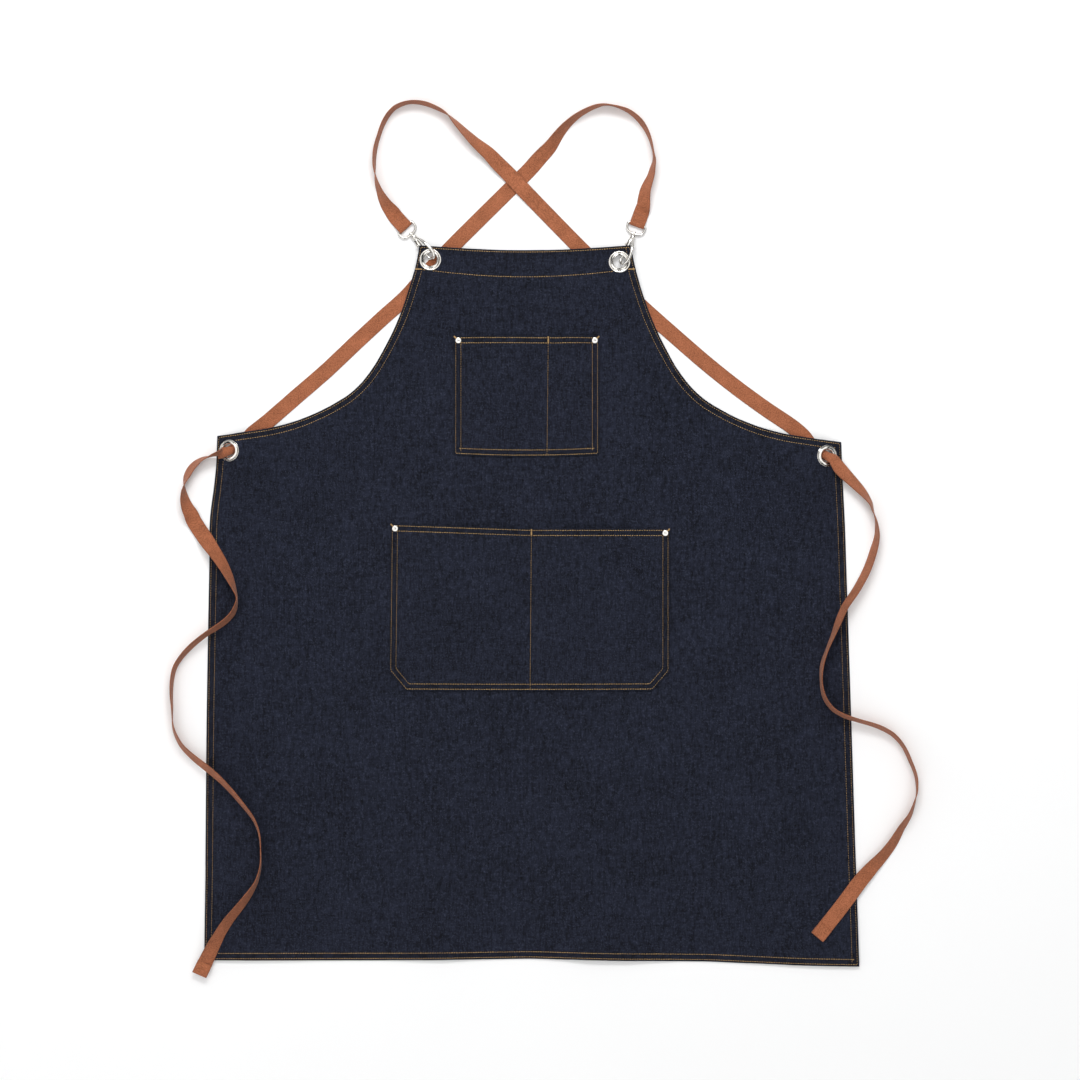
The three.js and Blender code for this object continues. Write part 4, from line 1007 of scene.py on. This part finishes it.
def rod(name, points, widths, closed=False, sides=16, flatness=1.0):
    """A bent wire through points in millimetres, its section round or flattened."""
    if closed:
        points = [*points, points[0], points[1], points[2]]
        widths = [*widths, widths[0], widths[1], widths[2]]
    line, place = flowing(points, 1.0, 3)
    width = np.interp(place, np.arange(len(points)), widths)
    along = np.gradient(line, axis=0)
    along /= np.linalg.norm(along, axis=1)[:, None]
    if closed:
        keep = (place >= 1) & (place < len(points) - 2)
        line, width, along = line[keep], width[keep], along[keep]
    across = np.cross([0, 0, 1], along)
    flat_enough = np.linalg.norm(across, axis=1) > 0.15
    for row in range(len(line)):
        if not flat_enough[row]:
            across[row] = across[row - 1]
        across[row] -= along[row] * np.dot(across[row], along[row])
        across[row] /= np.linalg.norm(across[row])
        if row and np.dot(across[row], across[row - 1]) < 0:
            across[row] *= -1
    through = np.cross(along, across)
    turns = np.arange(sides) * 2 * math.pi / sides
    corners = []
    for row in range(len(line)):
        for turn in turns:
            wide = across[row] * math.cos(turn) * width[row]
            corners.append(line[row] + wide + through[row] * math.sin(turn) * width[row] * flatness)
    piece = chosen(mesh_object(name, corners, tube_faces(len(line), sides, closed)))
    bpy.ops.object.mode_set(mode="EDIT")
    bpy.ops.mesh.select_all(action="SELECT")
    bpy.ops.mesh.normals_make_consistent(inside=False)
    bpy.ops.object.mode_set(mode="OBJECT")
    return piece


def eyelet_model():
    """The front half of a grommet: a domed ring with a lip round it, and a barrel curled outwards."""
    corners = [(BORE_MM, -2.7), (BORE_MM, -1.0), (BORE_MM, 0.2)]
    corners += arc((BORE_MM + 1.6, 0.2), 1.6, 180, 100, 5)[1:]
    corners += [(BORE_MM + 2.1, 1.5), (BORE_MM + 3.0, 1.25), (BORE_MM + 3.6, 0.85), (BORE_MM + 3.85, 0.3)]
    corners += [(BORE_MM + 4.0, 0.15), (BORE_MM + 4.2, 0.3), (BORE_MM + 4.4, 0.75)]
    corners += arc((FLANGE_MM - 0.65, 0.25), 0.65, 80, -20, 5)
    corners += [(FLANGE_MM - 0.4, 0.02), (BORE_MM + 0.75, 0.02), (BORE_MM + 0.7, -2.6)]
    corners += [(BORE_MM + 1.15, -3.05), (BORE_MM + 1.1, -3.3), (BORE_MM + 0.5, -3.28)]
    return turned("eyelet_model", corners)


def washer_model():
    """The back half of a grommet: a ring that the barrel is curled over."""
    corners = [(9.05, -2.32), (9.05, -2.7), (9.5, -3.15), (10.2, -3.3)]
    corners += arc((WASHER_MM - 0.4, -2.75), 0.4, -80, 10, 4)
    corners += [(WASHER_MM - 0.1, -2.3), (WASHER_MM - 0.4, -2.22)]
    return turned("washer_model", corners)


def rivet_model():
    """A set rivet, its heights from the back of the denim: back disc, post and a nippled cap."""
    corners = [(POLE, -1.1), (2.4, -1.1), (3.0, -1.0), (3.2, -0.7), (3.1, -0.3), (1.2, -0.3), (1.2, 3.55)]
    corners += [(3.4, 3.55), (3.7, 3.6)]
    corners += arc((3.25, 4.05), 0.5, -20, 90, 5)
    corners += [(2.6, 4.62), (2.1, 4.75), (1.55, 4.6), (1.25, 4.55), (1.0, 4.75), (0.7, 5.0), (0.3, 5.08)]
    corners += [(POLE, 5.1)]
    return turned("rivet_model", corners, 40)


def set_grommets():
    models = {"eyelet": eyelet_model(), "washer": washer_model()}
    for name, (x, y, z, lean) in GROMMETS.items():
        for kind, model in models.items():
            set_copy(model, f"{kind}_{name}", placed(x, y, z, lean, "Y"))
    for model in models.values():
        bpy.data.objects.remove(model)


def set_rivets():
    model = rivet_model()
    for pocket in ("chest_pocket", "hand_pocket"):
        for side in ("left", "right"):
            node = f"rivet_{pocket}_{side}"
            low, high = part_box(node)
            middle = (low + high) / 2 / MM
            set_copy(model, node, placed(middle.x, middle.y, 0, 0, "Z"))
    bpy.data.objects.remove(model)


# From the swivel to the tip that meets the bolt: along the hook, out to its side, up
ARM_ROUTE = [
    (-1.4, 0.8, 0.8), (2, 1.8, 3.1), (7.7, 4.2, 6.6), (13.7, 6.2, 8.9), (20, 7.8, 10),
    (26, 8.4, 10.2), (31, 7.9, 10.2), (34.3, 6.3, 9.6), (35.7, 4.3, 7.8), (35.5, 2.6, 5),
    (34.6, 1.3, 2.4), (33, 0.3, 0.5), (30.2, 0, 0),
]
ARM_WIDTHS = [1.6, 1.8, 2.0, 2.0, 1.85, 1.75, 1.65, 1.55, 1.5, 1.5, 1.5, 1.5, 1.5]
ALONG_X = Matrix.Rotation(math.radians(90), 4, "Y")
STUD_LEAN = Matrix.Rotation(math.radians(50), 4, "X")
STUD_AT_MM = 11.2
BOLT_TRAVEL_MM = 6


def hook_body_model():
    """Turned collar and barrel with a slot for the stud, and the cast arm that curls into the ring."""
    corners = [(POLE, 2.2), (2.3, 2.2), (2.3, -1.0), (1.75, -1.2), (1.75, -2.7), (2.5, -2.7), (3.1, -2.4)]
    corners += [(3.4, -1.9), (3.4, -0.6), (3.15, -0.25), (3.15, 0.15), (3.4, 0.5), (3.4, 1.7), (3.2, 2.2)]
    corners += [(2.8, 2.6), (2.8, 3.0), (3.0, 3.4), (3.0, 13.5), (2.8, 13.95), (2.4, 14.1)]
    corners += [(1.7, 14.1), (1.7, 3.1), (POLE, 3.1)]
    barrel = turned("hook_model", corners, 40)
    barrel.data.transform(ALONG_X)
    arm = rod("arm", ARM_ROUTE, ARM_WIDTHS, flatness=0.8)
    fused(barrel, arm)
    deselect()
    bpy.ops.mesh.primitive_cube_add(size=1, location=(0, 0, 0))
    slot = bpy.context.object
    slot.data.transform(
        STUD_LEAN @ Matrix.Translation((STUD_AT_MM - BOLT_TRAVEL_MM / 2, 0, 4))
        @ Matrix.Diagonal((BOLT_TRAVEL_MM + 2.4, 2.4, 8, 1))
    )
    corners = [(POLE, -3.9), (1.7, -3.9), (1.7, -0.9), (2.3, -0.8), (2.3, 2.2), (POLE, 2.2)]
    bore = turned("bore", corners, 40)
    bore.data.transform(ALONG_X)
    way = turned("way", [(POLE, 3.1), (1.7, 3.1), (1.7, 15.5), (POLE, 15.5)], 40)
    way.data.transform(ALONG_X)
    return fused(barrel, slot, bore, way, how="DIFFERENCE")


def hook_bolt_model():
    """The spring bolt: a round rod with a domed end, and the stud with its thumb button."""
    corners = [(POLE, 9.4), (1.2, 9.4), (1.4, 9.6), (1.4, 29.2), (1.2, 29.7), (0.7, 29.9), (POLE, 29.9)]
    bolt = turned("bolt_model", corners, 32)
    bolt.data.transform(ALONG_X)
    corners = [(POLE, 0), (0.9, 0), (0.9, 3.35), (1.25, 3.35), (1.4, 3.6), (1.4, 5.3), (1.1, 5.7)]
    corners += [(POLE, 5.8)]
    stud = turned("stud", corners, 24)
    stud.data.transform(STUD_LEAN @ Matrix.Translation((STUD_AT_MM, 0, 0)))
    return fused(bolt, stud)


def hook_eye_model():
    """The strap's D-shaped eye with the swivel's head, neck and ball."""
    outline = [
        (0.55, 0), (0.91, 0), (1, 0.09), (1, 0.38), (0.965, 0.58), (0.86, 0.76), (0.66, 0.9),
        (0.36, 0.98), (0, 1),
    ]
    one_side = [(-EYE_BAR_MM + EYE_DEPTH_MM * deep, EYE_HALF_MM * across, 0) for across, deep in outline]
    other_side = [(x, -y, z) for x, y, z in one_side[-2::-1]]
    points = [(-EYE_BAR_MM, 0, 0), *one_side, *other_side]
    ring = rod("eye_model", points, [EYE_WIRE_MM] * len(points), closed=True)
    corners = [(POLE, -7.9), (1.3, -7.9), (1.8, -7.6), (2.0, -7.2), (2.0, -5.5), (1.7, -5.1), (1.1, -4.9)]
    corners += [(1.1, -1.62)]
    corners += [(1.9 * math.cos(a), 1.9 * math.sin(a)) for a in np.linspace(-0.9, 1.45, 9)]
    corners += [(POLE, 1.9)]
    swivel = turned("swivel", corners, 32)
    swivel.data.transform(ALONG_X)
    return fused(ring, swivel)


def set_hooks():
    models = {"hook_body": hook_body_model(), "hook_bolt": hook_bolt_model(), "hook_eye": hook_eye_model()}
    riding = {"hook_body": "hook_{}", "hook_bolt": "bolt_{}", "hook_eye": "apron"}
    for side, (x, y, hook_angle, eye_angle) in HOOKS.items():
        for kind, model in models.items():
            angle = eye_angle if kind == "hook_eye" else hook_angle
            place = placed(x, y, HOOK_AXIS_MM, angle, "Z")
            set_copy(model, f"{kind}_{side}", place, riding[kind].format(side))
    for model in models.values():
        bpy.data.objects.remove(model)


# Camera, floor and light

CAMERA_OVER_MM = (12.5, 80)
CAMERA_HEIGHT_MM = 4000
FIELD_MM = 1350
SENSOR_MM = 36


def set_camera():
    lens = bpy.data.cameras.new("camera")
    lens.sensor_width = SENSOR_MM
    lens.lens = SENSOR_MM * CAMERA_HEIGHT_MM / FIELD_MM
    lens.clip_start = 0.05
    lens.clip_end = 30
    camera = bpy.data.objects.new("camera", lens)
    bpy.context.scene.collection.objects.link(camera)
    x, y = CAMERA_OVER_MM
    camera.location = (x * MM, y * MM, (FLOOR_MM + CAMERA_HEIGHT_MM) * MM)
    bpy.context.scene.camera = camera


def set_floor():
    deselect()
    bpy.ops.mesh.primitive_plane_add(size=14, location=(0, 0, 0))
    floor = bpy.context.object
    floor.name = "floor"
    floor.data.transform(Matrix.Translation((0, 0, FLOOR_MM * MM)))
    floor.data.materials.append(FLOOR)


def soft_light(name, place, aim, size, power):
    light = bpy.data.lights.new(name, "AREA")
    light.shape = "RECTANGLE"
    light.size, light.size_y = size
    light.energy = power
    lamp = bpy.data.objects.new(name, light)
    bpy.context.scene.collection.objects.link(lamp)
    lamp.location = place
    lamp.rotation_euler = (Vector(aim) - Vector(place)).to_track_quat("-Z", "Y").to_euler()


def set_light():
    """A soft box above the picture's top edge, a weaker one across from it, and a room with a white
    ceiling whose banded walls give the metal something to reflect."""
    soft_light("top_box", (0.0, 1.9, 2.3), (0, 0.2, 0), (1.4, 0.7), 38)
    soft_light("fill_box", (-1.9, -0.6, 2.0), (0, 0, 0), (1.2, 1.8), 7)
    world = bpy.data.worlds.new("room")
    world.use_nodes = True
    tree = world.node_tree
    tree.nodes.clear()
    place = add(tree, "TexCoord", output="Generated")
    bands = add(tree, "TexWave", {"Vector": place, "Scale": 0.42, "Distortion": 2.0, "Detail": 1.0}, "Fac")
    bands = add(tree, "MapRange", (bands, 0.36, 0.62))
    mixing = {FACTOR: bands, FIRST: linear("#242629"), SECOND: linear("#F4F4F4")}
    walls = add(tree, "Mix", mixing, **COLOURS)
    upward = add(tree, "SeparateXYZ", (place,), "Z")
    ceiling = add(tree, "MapRange", (upward, 0.8, 0.9))
    mixing = {FACTOR: ceiling, FIRST: walls, SECOND: linear("#FFFFFF")}
    colour = add(tree, "Mix", mixing, **COLOURS)
    sky = add(tree, "Background", {"Color": colour, "Strength": 1.42})
    add(tree, "OutputWorld", {"Surface": sky})
    bpy.context.scene.world = world
    bpy.context.scene.view_settings.view_transform = "Standard"
    bpy.context.scene.view_settings.look = "None"


# The apron


def make_body():
    edge = softened_edge(cloth_edge("body_panel"), 5)
    seams = body_seams(edge)
    holes = [(x, y, math.cos(math.radians(lean))) for x, y, _, lean in GROMMETS.values()]
    body = cloth_piece("denim_body", "body_panel", edge, seams, holes, BODY_HEM_MM, band_line, 12, 7.5)
    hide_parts("body_panel")
    tree = surface_tree(body)
    beads = [bead for seam in seams for bead in row_of_stitches(tree, seam)]
    band = seams[2]
    for end, step in ((band[0], 1), (band[-1], -1)):
        beads += bar_tack(tree, end + np.array([step * 3.6, 0]), 0, TACK_LENGTH_MM)
    stitch_mesh("topstitch_body", beads, THREAD)
    return body


def make_pocket(node, divider):
    edge = softened_edge(cloth_edge(node), 4)
    seams = pocket_seams(edge, divider)
    pocket = cloth_piece(f"denim_{node}", node, edge, seams, [], POCKET_HEM_MM, None, 4, 5.5)
    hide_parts(node)
    tree = surface_tree(pocket)
    beads = [bead for seam in seams for bead in row_of_stitches(tree, seam)]
    top = seams[2][1]
    beads += bar_tack(tree, (top[0], top[1] - 2), 90, TACK_LENGTH_MM)
    for side in (-1, 1):
        corner = max(edge, key=lambda point: side * point[0] + point[1])
        beads += bar_tack(tree, corner - np.array([1.6 * side, 1.8]), 45 * side, SHORT_TACK_MM)
    stitch_mesh(f"topstitch_{node}", beads, THREAD)


def tape_start(side):
    """Where the folded end of the tape lies, behind its eye."""
    x, y, _, eye_angle = HOOKS[side]
    back = EYE_BAR_MM + TAPE_FOLD_MM
    angle = math.radians(eye_angle)
    return Vector(((x - back * math.cos(angle)) * MM, (y - back * math.sin(angle)) * MM, 0.9 * MM))


def make_tapes():
    for side, (x, y, _, eye_angle) in HOOKS.items():
        piece = tape_piece(f"tape_from_{side}_hook", f"strap_from_{side}_hook", tape_start(side))
        tree = surface_tree(piece)
        angle = math.radians(eye_angle)
        back = np.array([-math.cos(angle), -math.sin(angle)])
        across = np.array([-back[1], back[0]]) * 0.42 * TAPE_WIDTH_MM
        beads = []
        for distance in TAPE_ROWS_MM:
            middle = np.array([x, y]) + back * (EYE_BAR_MM + distance)
            beads += row_of_stitches(tree, [middle - across, middle + across])
        stitch_mesh(f"fold_stitches_{side}", beads, TAPE_THREAD)


set_camera()
set_floor()
set_light()
make_body()
make_pocket("chest_pocket", 0.645)
make_pocket("hand_pocket", 0.505)
make_tapes()
set_grommets()
set_rivets()
set_hooks()

bpy.context.view_layer.update()
